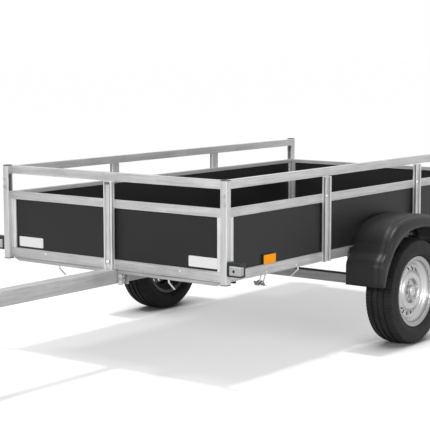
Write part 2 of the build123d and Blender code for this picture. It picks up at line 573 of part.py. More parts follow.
# wheel and tyre sections as (radius, offset)
half_roll = ROLLER_W / 2
hub_r, tread_in = 8 + RUN, ROLLER_R - 28
right_half = [(hub_r, half_roll + 4), (18, half_roll + 4), (20, 6), (tread_in - 10, 6),
              (tread_in - 6, half_roll - 2), (tread_in, half_roll - 2)]
centre = right_half + [(r, -offset) for r, offset in reversed(right_half)]
save("jockey_wheel", turned(centre, axle_x, JOCKEY_Y, ROLLER_R))
tread_half = [(tread_in, half_roll - 3), (ROLLER_R - 16, half_roll), (ROLLER_R - 6, half_roll - 2),
              (ROLLER_R, half_roll - 12)]
tread = tread_half + [(r, -offset) for r, offset in reversed(tread_half)]
save("jockey_tyre", turned(tread, axle_x, JOCKEY_Y, ROLLER_R))

# ------------------------------------------------------------------ tailgate
GATE_Y = TUBE_IN - GATE_GAP
GATE_ZS = (BED_Z + BOTTOM_H + GATE_GAP, BOARD_Z)
GATE_XS = (REAR_X, REAR_X + RAIL_T)
PIN_X, PIN_Z = REAR_X - KNUCKLE_R - 1, BED_Z + BOTTOM_H + GATE_GAP / 2
LEAF_T, LEAF_W = 4.0, 22.0
infill_y = GATE_Y - GATE_FRAME
infill_z = (GATE_ZS[0] + GATE_FRAME, GATE_ZS[1] - LID_H)
infill_x = (REAR_X + PANEL_IN, REAR_X + PANEL_IN + PANEL_T)
gate = block(GATE_XS, (-GATE_Y, GATE_Y), GATE_ZS)
gate -= block((infill_x[0], GATE_XS[1]), (-infill_y, infill_y), infill_z)
gate -= block((GATE_XS[0], infill_x[0]), (-infill_y, infill_y), (infill_z[0], GATE_ZS[1] - BOARD_RAIL_H))
save("tailgate_panel", block(infill_x, (-infill_y, infill_y), infill_z))

hinges = []
for y in HINGE_Y:
    middle = (y - LEAF_W / 2, y + LEAF_W / 2)
    hinge = rod((PIN_X, middle[0], PIN_Z), (PIN_X, middle[1], PIN_Z), KNUCKLE_R)
    pin_half = LEAF_W * 1.5 + 2
    hinge += rod((PIN_X, y - pin_half, PIN_Z), (PIN_X, y + pin_half, PIN_Z), PIN_R)
    hinge += block((PIN_X, REAR_X), middle, (PIN_Z - KNUCKLE_R, PIN_Z - KNUCKLE_R + LEAF_T))
    hinge += block((REAR_X - LEAF_T, REAR_X), middle, (BED_Z + 8, PIN_Z - KNUCKLE_R + LEAF_T))
    hinges.append(hinge)
    for step in (-1, 1):
        centre_y = y + step * (LEAF_W + SKIN)
        outer = (centre_y - LEAF_W / 2, centre_y + LEAF_W / 2)
        leaf = rod((PIN_X, outer[0], PIN_Z), (PIN_X, outer[1], PIN_Z), KNUCKLE_R)
        leaf += block((PIN_X, REAR_X), outer, (PIN_Z + KNUCKLE_R - LEAF_T, PIN_Z + KNUCKLE_R))
        leaf += block((REAR_X - LEAF_T, REAR_X), outer, (PIN_Z + KNUCKLE_R - LEAF_T, PIN_Z + LEAF_H))
        gate += leaf - rod((PIN_X, outer[0], PIN_Z), (PIN_X, outer[1], PIN_Z), PIN_R + RUN)
save("tailgate_frame", gate)
save("tailgate_hinges", *hinges)

# over-centre latches: plate and lever on the tailgate, hook plate on the corner post
LATCH_W, LATCH_H = 56.0, 34.0
latch_y = (GATE_Y - LATCH_W - 4, GATE_Y - 4)
latch_z = (BOARD_Z - LATCH_H - 4, BOARD_Z - 4)
latch = block((REAR_X - 10, REAR_X), latch_y, latch_z)
latch += block((REAR_X - 18, REAR_X - 10), (latch_y[0] + 14, latch_y[1] - 10), (latch_z[0] - LEVER_L, latch_z[1] - 6))
save("tailgate_latches", *both_sides(latch))
post_face = REAR_X - PROUD
keeper = block((post_face - 8, post_face), (TUBE_IN + 8, HALF_W + PROUD - 8), latch_z)
save("latch_keepers", *both_sides(keeper))

# ------------------------------------------------------------------ lamps and reflectors
LAMP_Y = HALF_W + PROUD
LAMP_W, LAMP_H, LAMP_D, LAMP_Z = 74.0, 80.0, 42.0, BED_Z + 21
LAMP_ROOT, LAMP_BACK = 15.0, 8.0       # housing beside the post and behind the lens
LENS_IN = 3.0
lamp_top = LAMP_Z + LAMP_H
lamp = block((-LAMP_D / 2, LAMP_D / 2 - LENS_IN), (LAMP_Y, LAMP_Y + LAMP_ROOT), (LAMP_Z, lamp_top))
lamp += block((-LAMP_D / 2, LAMP_BACK - LAMP_D / 2), (LAMP_Y, LAMP_Y + LAMP_W), (LAMP_Z, lamp_top))
save("front_lamps", *both_sides(fillet(lamp.edges().filter_by(Axis.X).group_by(Axis.Y)[-1], 8)))
lens = block((LAMP_BACK - LAMP_D / 2, LAMP_D / 2), (LAMP_Y + LAMP_ROOT, LAMP_Y + LAMP_W - LENS_IN),
             (LAMP_Z + LENS_IN, lamp_top - LENS_IN))
lens = fillet(lens.edges().filter_by(Axis.Z).group_by(Axis.Y)[-1].sort_by(Axis.X)[-1], 12)
save("front_lamp_lenses", *both_sides(chamfer(lens.faces().sort_by(Axis.X)[-1].edges(), LENS_IN)))

REFLECTOR_X, REFLECTOR_L, REFLECTOR_H = -347.0, 100.0, 50.0
reflector = block((REFLECTOR_X - REFLECTOR_L / 2, REFLECTOR_X + REFLECTOR_L / 2), (PANEL_OUT, HALF_W + 4),
                  (BED_Z + BOTTOM_H, BED_Z + BOTTOM_H + REFLECTOR_H))
save("side_reflectors", *both_sides(fillet(reflector.edges().filter_by(Axis.Y), 5)))

REAR_LAMP_Y = (430.0, 650.0)
rear_z = (BED_Z - 12 - LAMP_DROP, BED_Z - 12)
housing_x = (REAR_X - TAIL + 20, REAR_X - 10)
rear_lamp = fillet(block(housing_x, REAR_LAMP_Y, rear_z).edges().filter_by(Axis.X), 8)
rear_lamp += block((REAR_X - 10, REAR_X - 6), (REAR_LAMP_Y[0] + 20, REAR_LAMP_Y[1] - 20), (BED_Z - 70, BED_Z))
rear_lamp += block((REAR_X - 10, REAR_X + RAIL_T), (REAR_LAMP_Y[0] + 20, REAR_LAMP_Y[1] - 20), (BED_Z - 4, BED_Z))
save("rear_lamps", *both_sides(rear_lamp))
rear_lens = block((REAR_X - TAIL, REAR_X - TAIL + 20), (REAR_LAMP_Y[0] + 6, REAR_LAMP_Y[1] - 6),
                  (rear_z[0] + 6, rear_z[1] - 6))
save("rear_lamp_lenses", *both_sides(fillet(rear_lens.edges().filter_by(Axis.X), 6)))

# ------------------------------------------------------------------ tie hooks
SIDE_HOOK_X = (-599.0, -1964.0)
FRONT_HOOK_Y = 352.0
HOOK_STUB, HOOK_DROP, HOOK_IN = 12.0, 50.0, 42.0


def hook(x, y, z, dx, dy):
    """Bent rod under a rail: a short root, then a free end pointing down and inwards."""
    bend = (x, y, z - HOOK_STUB)
    point = (x + dx, y + dy, z - HOOK_DROP)
    root = rod((x, y, z), bend, HOOK_R)
    return root + rod(bend, point, HOOK_R) + Pos(x + FRONT_X, y, z - HOOK_STUB) * Sphere(HOOK_R)


hooks = both_sides(hook(-10.0, FRONT_HOOK_Y, BED_Z - FRONT_MEMBER_H, -HOOK_IN, 0))
for x in SIDE_HOOK_X:
    hooks += both_sides(hook(x, HALF_W - 8, BED_Z, 0, -HOOK_IN))
save("tie_hooks", *hooks)
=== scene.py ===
import json
from functools import partial
from math import cos, pi, radians, sin, sqrt

import bmesh
import bpy
from mathutils import Matrix, Vector

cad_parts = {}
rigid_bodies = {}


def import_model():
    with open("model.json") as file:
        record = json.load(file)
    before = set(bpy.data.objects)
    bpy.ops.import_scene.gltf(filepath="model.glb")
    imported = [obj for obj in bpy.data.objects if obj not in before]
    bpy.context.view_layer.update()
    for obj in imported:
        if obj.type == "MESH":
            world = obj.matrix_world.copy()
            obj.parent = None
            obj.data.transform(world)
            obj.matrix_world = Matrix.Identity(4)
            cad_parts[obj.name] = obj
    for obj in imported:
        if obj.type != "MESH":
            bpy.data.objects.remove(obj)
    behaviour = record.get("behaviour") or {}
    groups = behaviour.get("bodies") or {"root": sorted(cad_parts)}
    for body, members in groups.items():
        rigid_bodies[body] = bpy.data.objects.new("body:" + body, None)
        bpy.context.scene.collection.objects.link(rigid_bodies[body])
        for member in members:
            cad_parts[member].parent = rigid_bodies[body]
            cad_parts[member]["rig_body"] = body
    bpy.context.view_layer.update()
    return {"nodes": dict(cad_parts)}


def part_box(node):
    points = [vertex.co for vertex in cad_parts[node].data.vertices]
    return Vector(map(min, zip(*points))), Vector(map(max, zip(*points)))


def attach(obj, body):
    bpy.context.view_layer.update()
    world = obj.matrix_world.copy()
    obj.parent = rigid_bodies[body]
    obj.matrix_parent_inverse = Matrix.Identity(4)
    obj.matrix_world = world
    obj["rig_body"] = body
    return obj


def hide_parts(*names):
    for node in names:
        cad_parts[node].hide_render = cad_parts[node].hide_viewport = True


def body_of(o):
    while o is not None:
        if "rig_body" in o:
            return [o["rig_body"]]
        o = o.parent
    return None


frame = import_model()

# ---------------------------------------------------------------- rails, posts and strips
# Roll-formed galvanised steel: the rails run round the bed and hold the boards' edges, the
# posts stand outside them and are bolted through. The zinc has dried in long faint streaks
# with a cloudy grain across them.


def add_node(tree, kind, settings=None, values=None):
    """A new node in a tree: its settings first, then a value or a link for each named socket."""
    made = tree.nodes.new(kind)
    for key, value in (settings or {}).items():
        setattr(made, key, value)
    for key, value in (values or {}).items():
        if hasattr(value, "is_output"):
            tree.links.new(value, made.inputs[key])
        else:
            made.inputs[key].default_value = value
    return made


class Value:
    """A shader socket that can be used in a Python expression."""

    def __init__(self, finish, socket):
        self.finish, self.socket = finish, socket

    def maths(self, operation, *values):
        return self.finish.node("ShaderNodeMath", dict(operation=operation), dict(enumerate(values)))

    def __add__(self, other):
        return self.maths("ADD", self, other)

    def __sub__(self, other):
        return self.maths("SUBTRACT", self, other)

    def __rsub__(self, other):
        return self.maths("SUBTRACT", other, self)

    def __mul__(self, other):
        return self.maths("MULTIPLY", self, other)

    __radd__, __rmul__ = __add__, __mul__

    def __gt__(self, other):
        return self.maths("GREATER_THAN", self, other)


class Finish:
    """One material: a Principled shader, and the nodes that are worked out for its sockets."""

    def __init__(self, name, roughness=0.5, metallic=0.0, **constants):
        self.material = bpy.data.materials.new(name)
        self.material.use_nodes = True
        self.tree = self.material.node_tree
        self.shader = self.tree.nodes["Principled BSDF"]
        self.set("Roughness", roughness)
        self.set("Metallic", metallic)
        for socket, value in constants.items():
            self.set(socket.replace("_", " "), value)

    def node(self, kind, settings=None, values=None, out=0):
        """One output of a new node; the values may be numbers, colours, vectors or Values."""
        given = {key: getattr(value, "socket", value) for key, value in (values or {}).items()}
        return Value(self, add_node(self.tree, kind, settings, given).outputs[out])

    def place(self, scale=(1, 1, 1)):
        """The point on the piece's own axes, scaled along each."""
        at = self.node("ShaderNodeTexCoord", out=3)
        return self.node("ShaderNodeMapping", values={"Vector": at, "Scale": scale})

    def along(self, axis):
        """The point's x, y or z (0, 1 or 2)."""
        return self.node("ShaderNodeSeparateXYZ", values={0: self.place()}, out=axis)

    def noise(self, scale, stretch=(1, 1, 1), detail=3.0, roughness=0.55):
        values = {"Vector": self.place(stretch), "Scale": scale, "Detail": detail, "Roughness": roughness}
        return self.node("ShaderNodeTexNoise", values=values)

    def between(self, value, low, high):
        """The value's share between two levels, held from 0 to 1."""
        values = {"Value": value, "From Min": low, "From Max": high}
        return self.node("ShaderNodeMapRange", dict(clamp=True), values)

    def mix(self, share, a, b):
        """A colour from a at share 0 to b at share 1."""
        a, b = (colour if isinstance(colour, Value) else (*colour, 1) for colour in (a, b))
        return self.node("ShaderNodeMix", dict(data_type="RGBA"), {0: share, 6: a, 7: b}, out=2)

    def set(self, socket, value):
        if isinstance(value, Value):
            self.tree.links.new(value.socket, self.shader.inputs[socket])
        else:
            self.shader.inputs[socket].default_value = value

    def bump(self, height, distance, strength):
        values = {"Height": height, "Distance": distance, "Strength": strength}
        self.set("Normal", self.node("ShaderNodeBump", values=values))


def scaled(colour, factor):
    """The colour made lighter or darker."""
    return [channel * factor for channel in colour]


STREAK_ALONG, STREAK_ACROSS = 0.5, 9.0


def galvanised(name, light, dark, along, roughness=0.42, metallic=0.55):
    """Zinc-coated steel with streaks along one axis (0, 1 or 2)."""
    finish = Finish(name, metallic=metallic)
    stretch = [STREAK_ALONG if axis == along else STREAK_ACROSS for axis in range(3)]
    streaks = finish.noise(9.0, stretch, 5.0, 0.6)
    cloud = finish.noise(7.0, detail=2.0)
    grain = finish.noise(160.0, detail=2.0)
    shade = finish.between(streaks * 0.6 + cloud * 0.3 + grain * 0.12, 0.36, 0.66)
    finish.set("Base Color", finish.mix(shade, dark, light))
    finish.set("Roughness", roughness + 0.16 * cloud - 0.08 * streaks)
    finish.bump(grain * 0.5 + streaks, 0.0004, 0.5)
    return finish.material


def linked(name, data):
    """A new object in the scene: a mesh, a light or a camera."""
    made = bpy.data.objects.new(name, data)
    bpy.context.collection.objects.link(made)
    return made


def settle(piece, node, replaces=True):
    """The piece rides with a node's body; it may stand for the node, which is then hidden."""
    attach(piece, body_of(frame["nodes"][node])[0])
    if replaces:
        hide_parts(node)


WELD, FLAT = 1e-5, radians(0.4)     # points this near are one, faces this level are one


def dress(node, material, edge=0.0, sharp=30.0):
    """The node's own shape with its edges eased and its curves smooth, on the node's body."""
    mesh = frame["nodes"][node].data.copy()
    shell = bmesh.new()
    shell.from_mesh(mesh)
    bmesh.ops.remove_doubles(shell, verts=shell.verts, dist=WELD)
    bmesh.ops.dissolve_limit(shell, angle_limit=FLAT, verts=shell.verts, edges=shell.edges)
    shell.to_mesh(mesh)
    shell.free()
    mesh.materials.clear()
    mesh.materials.append(material)
    mesh.shade_smooth()
    mesh.set_sharp_from_angle(angle=radians(sharp))
    piece = linked(node + "_finish", mesh)
    if edge:
        bevel = piece.modifiers.new("eased", "BEVEL")
        bevel.width, bevel.segments, bevel.limit_method = edge, 2, "ANGLE"
        bevel.angle_limit, bevel.harden_normals = radians(sharp), True
    settle(piece, node)
    return piece


def mesh_from(shell, name, material=None):
    """A mesh made of the shell, which is let go."""
    mesh = bpy.data.meshes.new(name)
    shell.to_mesh(mesh)
    shell.free()
    if material:
        mesh.materials.append(material)
    return mesh


def slab(name, low, high, edge, material, node, replaces=False):
    """A block with rounded edges between two opposite corners."""
    low, high = (Vector([pick(pair) for pair in zip(low, high)]) for pick in (min, max))
    shell = bmesh.new()
    bmesh.ops.create_cube(shell, size=1.0)
    bmesh.ops.scale(shell, vec=high - low, verts=shell.verts)
    bmesh.ops.translate(shell, vec=(low + high) / 2, verts=shell.verts)
    bmesh.ops.bevel(shell, geom=shell.edges[:], offset=edge, segments=3, profile=0.6, affect="EDGES")
    mesh = mesh_from(shell, name, material)
    mesh.shade_smooth()
    mesh.set_sharp_from_angle(angle=radians(50))
    settle(linked(name, mesh), node, replaces)


SIDES = (("left", 1), ("right", -1))
ZINC_LIGHT, ZINC_DARK = (0.63, 0.63, 0.63), (0.46, 0.46, 0.465)
upright_zinc = galvanised("zinc_upright", ZINC_LIGHT, ZINC_DARK, 2)
length_zinc = galvanised("zinc_lengthwise", ZINC_LIGHT, ZINC_DARK, 0)
cross_zinc = galvanised("zinc_crosswise", scaled(ZINC_LIGHT, 0.95), scaled(ZINC_DARK, 0.92), 1)
dress("corner_posts", upright_zinc, 0.0008)
# the side and front posts take the same zinc painted lighter, as painted light
lit_post_zinc = galvanised("zinc_post_painted_lighter", scaled(ZINC_LIGHT, 1.26), scaled(ZINC_DARK, 1.18), 2)
dress("side_posts", lit_post_zinc, 0.001)
dress("front_post", lit_post_zinc, 0.001)

# each ring of rails has two finishes, with the streaks along the rail that a face belongs to
# the bottom rails take the same zinc painted darker, as painted shade
shaded_low_colours = scaled(ZINC_LIGHT, 0.93), scaled(ZINC_DARK, 0.84)
shaded_low_zinc = galvanised("zinc_low", *shaded_low_colours, 0), galvanised("zinc_low_cross", *shaded_low_colours, 1)
rail_finishes = {"board_rails": (length_zinc, cross_zinc), "top_rails": (length_zinc, cross_zinc),
                 "bottom_rails": shaded_low_zinc}
for node, (lengthwise, crosswise) in rail_finishes.items():
    mesh = dress(node, lengthwise, 0.0018).data
    mesh.materials.append(crosswise)
    for face in mesh.polygons:
        spans = [[mesh.vertices[i].co[axis] for i in face.vertices] for axis in (0, 1)]
        if max(spans[1]) - min(spans[1]) > max(spans[0]) - min(spans[0]):
            face.material_index = 1
dress("rear_sill", cross_zinc, 0.0018)
dress("tailgate_frame", cross_zinc, 0.0012)

# cover strips over the boards' ends, outside at each corner post and inside by the tailgate
# the strips take the same zinc painted lighter, as painted light
lit_strip_zinc = galvanised("zinc_strip_painted_lighter", scaled(ZINC_LIGHT, 1.28), scaled(ZINC_DARK, 1.20), 2)
STRIP_FRONT, STRIP_SIDE, STRIP_IN = 0.032, 0.046, 0.022         # widths
FRONT_DEEP, INNER_DEEP, STRIP_EDGE = 0.008, 0.003, 0.001
BESIDE_POST, FORE_BACK, AFT_BACK = 0.036, 0.015, 0.021          # how far in each one starts
rails_low, rails_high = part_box("bottom_rails")
post_low, post_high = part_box("corner_posts")
lid_low, lid_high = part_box("board_rails")
board_low, board_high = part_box("side_panel_left")
face_x, face_y, bed = rails_high.x, rails_high.y, rails_low.z
front_edge, fore_x, aft_x = post_high.y - BESIDE_POST, face_x - FORE_BACK, board_low.x - AFT_BACK
strips = (("front", (face_x - FRONT_DEEP, front_edge - STRIP_FRONT), (face_x, front_edge), lid_low.z),
          ("fore", (fore_x - STRIP_SIDE, board_high.y), (fore_x, face_y), lid_low.z),
          ("aft", (aft_x, board_high.y), (aft_x + STRIP_SIDE, face_y), lid_low.z),
          ("inner", (board_low.x, board_low.y - INNER_DEEP), (board_low.x + STRIP_IN, board_low.y),
           board_high.z))
for name, side in SIDES:
    for place, low, high, top in strips:
        slab(f"strip_{place}_{name}", (low[0], side * low[1], board_low.z), (high[0], side * high[1], top),
             STRIP_EDGE, lit_strip_zinc, "board_edges", True)

# ---------------------------------------------------------------- bolts, screws and rivets
# Zinc-plated coach bolts with hexagon nuts hold the posts and brackets, domed rivets close the
# rails' corners. Each head stands on the face that it clamps.


def new_tree(name, **inputs):
    """An empty geometry tree from mesh to mesh, with typed inputs and a material."""
    tree = bpy.data.node_groups.new(name, "GeometryNodeTree")
    for label, kind in (("Geometry", "Geometry"), *inputs.items(), ("Material", "Material")):
        tree.interface.new_socket(label, in_out="INPUT", socket_type="NodeSocket" + kind)
    tree.interface.new_socket("Geometry", in_out="OUTPUT", socket_type="NodeSocketGeometry")
    return tree


def finish_tree(tree, given, points, shape, rotation, weld=0.0):
    """Ends a tree: the shape on every point, made real and given its material."""
    add = partial(add_node, tree)
    values = {"Points": points, "Instance": shape, "Rotation": rotation}
    placed = add("GeometryNodeInstanceOnPoints", values=values)
    made = add("GeometryNodeRealizeInstances", values={"Geometry": placed.outputs[0]})
    if weld:
        made = add("GeometryNodeMergeByDistance", values={"Geometry": made.outputs[0], "Distance": weld})
    values = {"Geometry": made.outputs[0], "Material": given["Material"]}
    dressed = add("GeometryNodeSetMaterial", values=values)
    tree.links.new(dressed.outputs[0], add("NodeGroupOutput").inputs[0])


WASHER_WIDE, END_WIDE, END_TALL = 1.45, 0.55, 1.35      # washer and bolt's end, as shares of the nut
WASHER_T = 0.003


def head_tree(name, domed):
    """A head on each point, standing along the point's "out": a dome, or a nut on a washer."""
    tree = new_tree(name, Radius="Float", Height="Float")
    add = partial(add_node, tree)

    def maths(operation, a, b):
        return add("ShaderNodeMath", dict(operation=operation), {0: a, 1: b}).outputs[0]

    given = add("NodeGroupInput").outputs
    radius, height = given["Radius"], given["Height"]
    if domed:
        ball = add("GeometryNodeMeshUVSphere", values={"Segments": 12, "Rings": 7, "Radius": radius})
        squat = add("ShaderNodeCombineXYZ", values={0: 1.0, 1: 1.0, 2: maths("DIVIDE", height, radius)})
        values = {"Geometry": ball.outputs[0], "Scale": squat.outputs[0]}
        head = add("GeometryNodeTransform", values=values)
    else:
        values = {"Vertices": 14, "Radius": maths("MULTIPLY", radius, WASHER_WIDE), "Depth": WASHER_T}
        washer = add("GeometryNodeMeshCylinder", values=values)
        values = {"Vertices": 6, "Side Segments": 1, "Radius Top": radius, "Radius Bottom": radius,
                  "Depth": height}
        nut = add("GeometryNodeMeshCone", values=values)
        tall = maths("MULTIPLY", height, END_TALL)
        values = {"Vertices": 10, "Radius": maths("MULTIPLY", radius, END_WIDE), "Depth": tall}
        end = add("GeometryNodeMeshCylinder", values=values)
        lift = add("ShaderNodeCombineXYZ", values={2: maths("MULTIPLY", tall, 0.5)})
        values = {"Geometry": end.outputs[0], "Translation": lift.outputs[0]}
        raised = add("GeometryNodeTransform", values=values)
        head = add("GeometryNodeJoinGeometry")
        for part in (washer, nut, raised):
            tree.links.new(part.outputs[0], head.inputs[0])
    out = add("GeometryNodeInputNamedAttribute", dict(data_type="FLOAT_VECTOR"), {"Name": "out"})
    aimed = add("FunctionNodeAlignRotationToVector", dict(axis="Z"), {"Vector": out.outputs[0]})
    finish_tree(tree, given, given["Geometry"], head.outputs[0], aimed.outputs[0])
    return tree


def grow(piece, tree, inputs):
    """Run a tree on a piece and keep its result as the piece's plain mesh."""
    modifier = piece.modifiers.new("grow", "NODES")
    modifier.node_group = tree
    for label, value in inputs.items():
        modifier[tree.interface.items_tree[label].identifier] = value
    depsgraph = bpy.context.evaluated_depsgraph_get()
    plain = bpy.data.meshes.new_from_object(piece.evaluated_get(depsgraph))
    piece.modifiers.clear()
    piece.data = plain


nut_head = head_tree("nut_head", False)
dome_head = head_tree("dome_head", True)
plated = galvanised("plated", (0.74, 0.74, 0.74), (0.58, 0.58, 0.59), 2, 0.3, 0.7)
dark_plated = galvanised("plated_dark", (0.30, 0.30, 0.31), (0.20, 0.20, 0.21), 2, 0.35, 0.7)


def heads(name, node, tree, radius, height, places, material=plated):
    """Heads on a node's body, from (x, y, z, out) places."""
    mesh = bpy.data.meshes.new(name)
    mesh.from_pydata([place[:3] for place in places], [], [])
    out = mesh.attributes.new("out", "FLOAT_VECTOR", "POINT")
    out.data.foreach_set("vector", [value for place in places for value in place[3]])
    piece = linked(name, mesh)
    grow(piece, tree, {"Radius": radius, "Height": height, "Material": material})
    piece.data.set_sharp_from_angle(angle=radians(35))
    settle(piece, node, False)


FRONT, BACK, UP, DOWN = (1, 0, 0), (-1, 0, 0), (0, 0, 1), (0, 0, -1)
top_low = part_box("top_rails")[0]
rear_x = post_low.x + (post_high.x - face_x)
lid_mid = (lid_low.z + lid_high.z) / 2

# the two bolt heads on each corner post's face, between the rails
CORNER_BOLT_IN, CORNER_BOLTS_Z = 0.0135, (0.401, 0.359)
bolt_zinc = galvanised("zinc_bolt", (0.62, 0.62, 0.62), (0.44, 0.44, 0.44), 2)
places = []
for side in (1, -1):
    y = side * (post_high.y - CORNER_BOLT_IN)
    for z in CORNER_BOLTS_Z:
        places.append((post_high.x, y, bed + z, FRONT))
        places.append((post_low.x, y, bed + z, BACK))
heads("corner_bolts", "corner_posts", nut_head, 0.0085, 0.006, places, bolt_zinc)

# the bolt low in the front post's track, and those of the side posts beside the boards' rails
front_post_low, front_post_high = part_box("front_post")
side_low, side_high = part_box("side_posts")
POST_W = front_post_high.y - front_post_low.y
side_fronts = (side_high.x, side_low.x + POST_W)
FRONT_BOLT_Y, FRONT_BOLT_UP, SIDE_BOLT_BACK, SIDE_BOLT_UP = -0.003, 0.036, 0.009, 0.013
places = [(front_post_high.x, FRONT_BOLT_Y, bed + FRONT_BOLT_UP, FRONT)]
for x in side_fronts:
    for side in (1, -1):
        places.append((x - SIDE_BOLT_BACK, side * side_high.y, lid_mid + SIDE_BOLT_UP, (0, side, 0)))
heads("post_bolts", "side_posts", dome_head, 0.0100, 0.006, places)

# thin dark strips painted on the posts' faces and sides as the shade in their rolled tracks, and a dark patch
# painted as the shade in the pocket at the front post's head
post_shade_paint = galvanised("zinc_line", (0.20, 0.20, 0.20), (0.12, 0.12, 0.12), 2, 0.6, 0.3)
LINE_TOP = top_low.z - 0.003
LINE_W, LINE_THICK, LINE_EDGE = 0.0028, 0.0004, 0.0002
POCKET_SHADE_H = 0.012
front_lines = (-0.0165, 0.0135)                                 # across the front post's face
side_line, side_face = (0.034, 0.031), (0.0105, 0.0045)         # in from the side post's edges
x, y = front_post_high.x, front_post_high.y
shade_marks = [("front_post", (x, across - LINE_W / 2, bed + 0.02), (x, across + LINE_W / 2, LINE_TOP))
         for across in front_lines]
shade_marks.append(("front_post", (x, front_lines[0], LINE_TOP - POCKET_SHADE_H), (x, front_lines[1], LINE_TOP)))
shade_marks.append(("front_post", (x - 0.0062, y, bed), (x - 0.0030, y, LINE_TOP)))
for x in side_fronts:
    for side in (1, -1):
        y = side * side_high.y
        shade_marks.append(("side_posts", (x - side_line[0], y, bed), (x - side_line[1], y, LINE_TOP)))
        ends = [side * (side_high.y - inset) for inset in side_face]
        shade_marks.append(("side_posts", (x, ends[0], bed), (x, ends[1], LINE_TOP)))
for node, low, high in shade_marks:
    thin = Vector([LINE_THICK if a == b else 0.0 for a, b in zip(low, high)])
    slab(node + "_line", Vector(low) - thin, Vector(high) + thin, LINE_EDGE, post_shade_paint, node)

# rivets through the bottom rails
END_RIVETS_Y, END_RIVETS_UP = (-0.4375, 0.4249), 0.031
SIDE_RIVETS_X, SIDE_RIVETS_UP = (0.31, 0.06, -0.40, -1.30, -1.62), 0.012
places = []
for y in END_RIVETS_Y:
    places.append((face_x, y, bed + END_RIVETS_UP, FRONT))
    places.append((rear_x, y, bed + END_RIVETS_UP, BACK))
for x in SIDE_RIVETS_X:
    for side in (1, -1):
        places.append((x, side * face_y, bed + SIDE_RIVETS_UP, (0, side, 0)))
heads("rail_rivets", "bottom_rails", dome_head, 0.0055, 0.003, places)

# ---------------------------------------------------------------- boards and floor
# Birch plywood faced with black phenolic film, slid into the rails. The film is smooth and
# satin, a little cloudy; the floor's upper face has the film's pressed wire-mesh grip.
CLOUD_SCALE, FLECK_SCALE = 2.2, 240.0


def film(name, colour, roughness, specular=0.35, fleck_bump=0.4):
    """A smooth dark coat with faint clouds and fine flecks."""
    finish = Finish(name, Specular_IOR_Level=specular)
    cloud = finish.noise(CLOUD_SCALE, detail=4.0)
    fleck = finish.noise(FLECK_SCALE, detail=2.0)
    shade = finish.between(cloud * 0.8 + fleck * 0.25, 0.36, 0.68)
    finish.set("Base Color", finish.mix(shade, scaled(colour, 0.82), scaled(colour, 1.15)))
    finish.set("Roughness", roughness + 0.1 * cloud)
    finish.bump(fleck, 0.0002, fleck_bump)
    return finish.material


board_film = film("board_film", (0.0125, 0.0125, 0.0128), 0.42, 0.28)
for node in ("side_panel_left", "side_panel_right", "front_panel", "tailgate_panel"):
    dress(node, board_film, 0.001)

# the floor's grip: rows of small lozenges pressed into the film, and the screws that hold it
grip = Finish("floor_film", Specular_IOR_Level=0.35)
wire = grip.node("ShaderNodeTexChecker", values={"Vector": grip.place((1, 0.6, 1)), "Scale": 180.0}, out=1)
cloud = grip.noise(CLOUD_SCALE, detail=4.0)
grip.set("Base Color", grip.mix(cloud, (0.012, 0.0115, 0.011), (0.022, 0.021, 0.020)))
grip.set("Roughness", 0.42 + 0.2 * cloud)
grip.bump(wire, 0.0004, 0.5)
dress("floor", grip.material, 0.001)
floor_low, floor_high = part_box("floor")
SCREW_IN = 0.03
SCREWS_X = (floor_low.x + SCREW_IN, -0.95, -0.35, 0.10, floor_high.x - SCREW_IN)
SCREWS_Y = (-0.62, -0.31, 0.0, 0.31, 0.62)
places = [(x, y, floor_high.z, UP) for x in SCREWS_X for y in SCREWS_Y]
heads("floor_screws", "floor", dome_head, 0.006, 0.0015, places, dark_plated)

# blank white vinyl plates on the front board
BLANK_L, BLANK_H, BLANK_T, BLANK_CORNER = 0.166, 0.050, 0.0008, 0.003
BLANK_UP, BLANKS_Y = 0.083, (("plate_left", 0.555), ("plate_right", -0.543))
vinyl = Finish("white_vinyl", 0.28)
vinyl.set("Base Color", vinyl.mix(vinyl.noise(30.0), (0.93, 0.93, 0.93), (0.97, 0.97, 0.97)))
vinyl.bump(vinyl.noise(90.0), 0.0001, 0.3)
board_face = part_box("front_panel")[1].x
for name, y in BLANKS_Y:
    shell = bmesh.new()
    bmesh.ops.create_cube(shell, size=1.0)
    bmesh.ops.scale(shell, vec=(BLANK_T, BLANK_L, BLANK_H), verts=shell.verts)
    corners = [edge for edge in shell.edges
               if abs(edge.verts[0].co.x - edge.verts[1].co.x) > BLANK_T / 2]
    bmesh.ops.bevel(shell, geom=corners, offset=BLANK_CORNER, segments=3, affect="EDGES")
    bmesh.ops.translate(shell, vec=(board_face + BLANK_T / 2, y, bed + BLANK_UP), verts=shell.verts)
    settle(linked(name, mesh_from(shell, name, vinyl.material)), "front_panel", False)

# ---------------------------------------------------------------- drawbar, axle and brackets
# Hot-dip galvanised welded steel: duller and rougher than the rolled rails, with runs and a
# grey bloom. The drawbar is a square tube through its brackets to the axle's saddle.
rough_zinc = galvanised("zinc_rough", (0.54, 0.54, 0.54), (0.36, 0.36, 0.365), 0, 0.5)
rough_cross = galvanised("zinc_rough_across", (0.50, 0.50, 0.50), (0.34, 0.34, 0.345), 1, 0.5)
for node, edge in (("drawbar", 0.0), ("drawbar_brackets", 0.001), ("axle_brackets", 0.001)):
    dress(node, rough_zinc, edge)
for node, edge in (("cross_members", 0.001), ("front_cross_member", 0.001), ("axle_beam", 0.0),
                   ("axle_saddle", 0.002)):
    dress(node, rough_cross, edge)

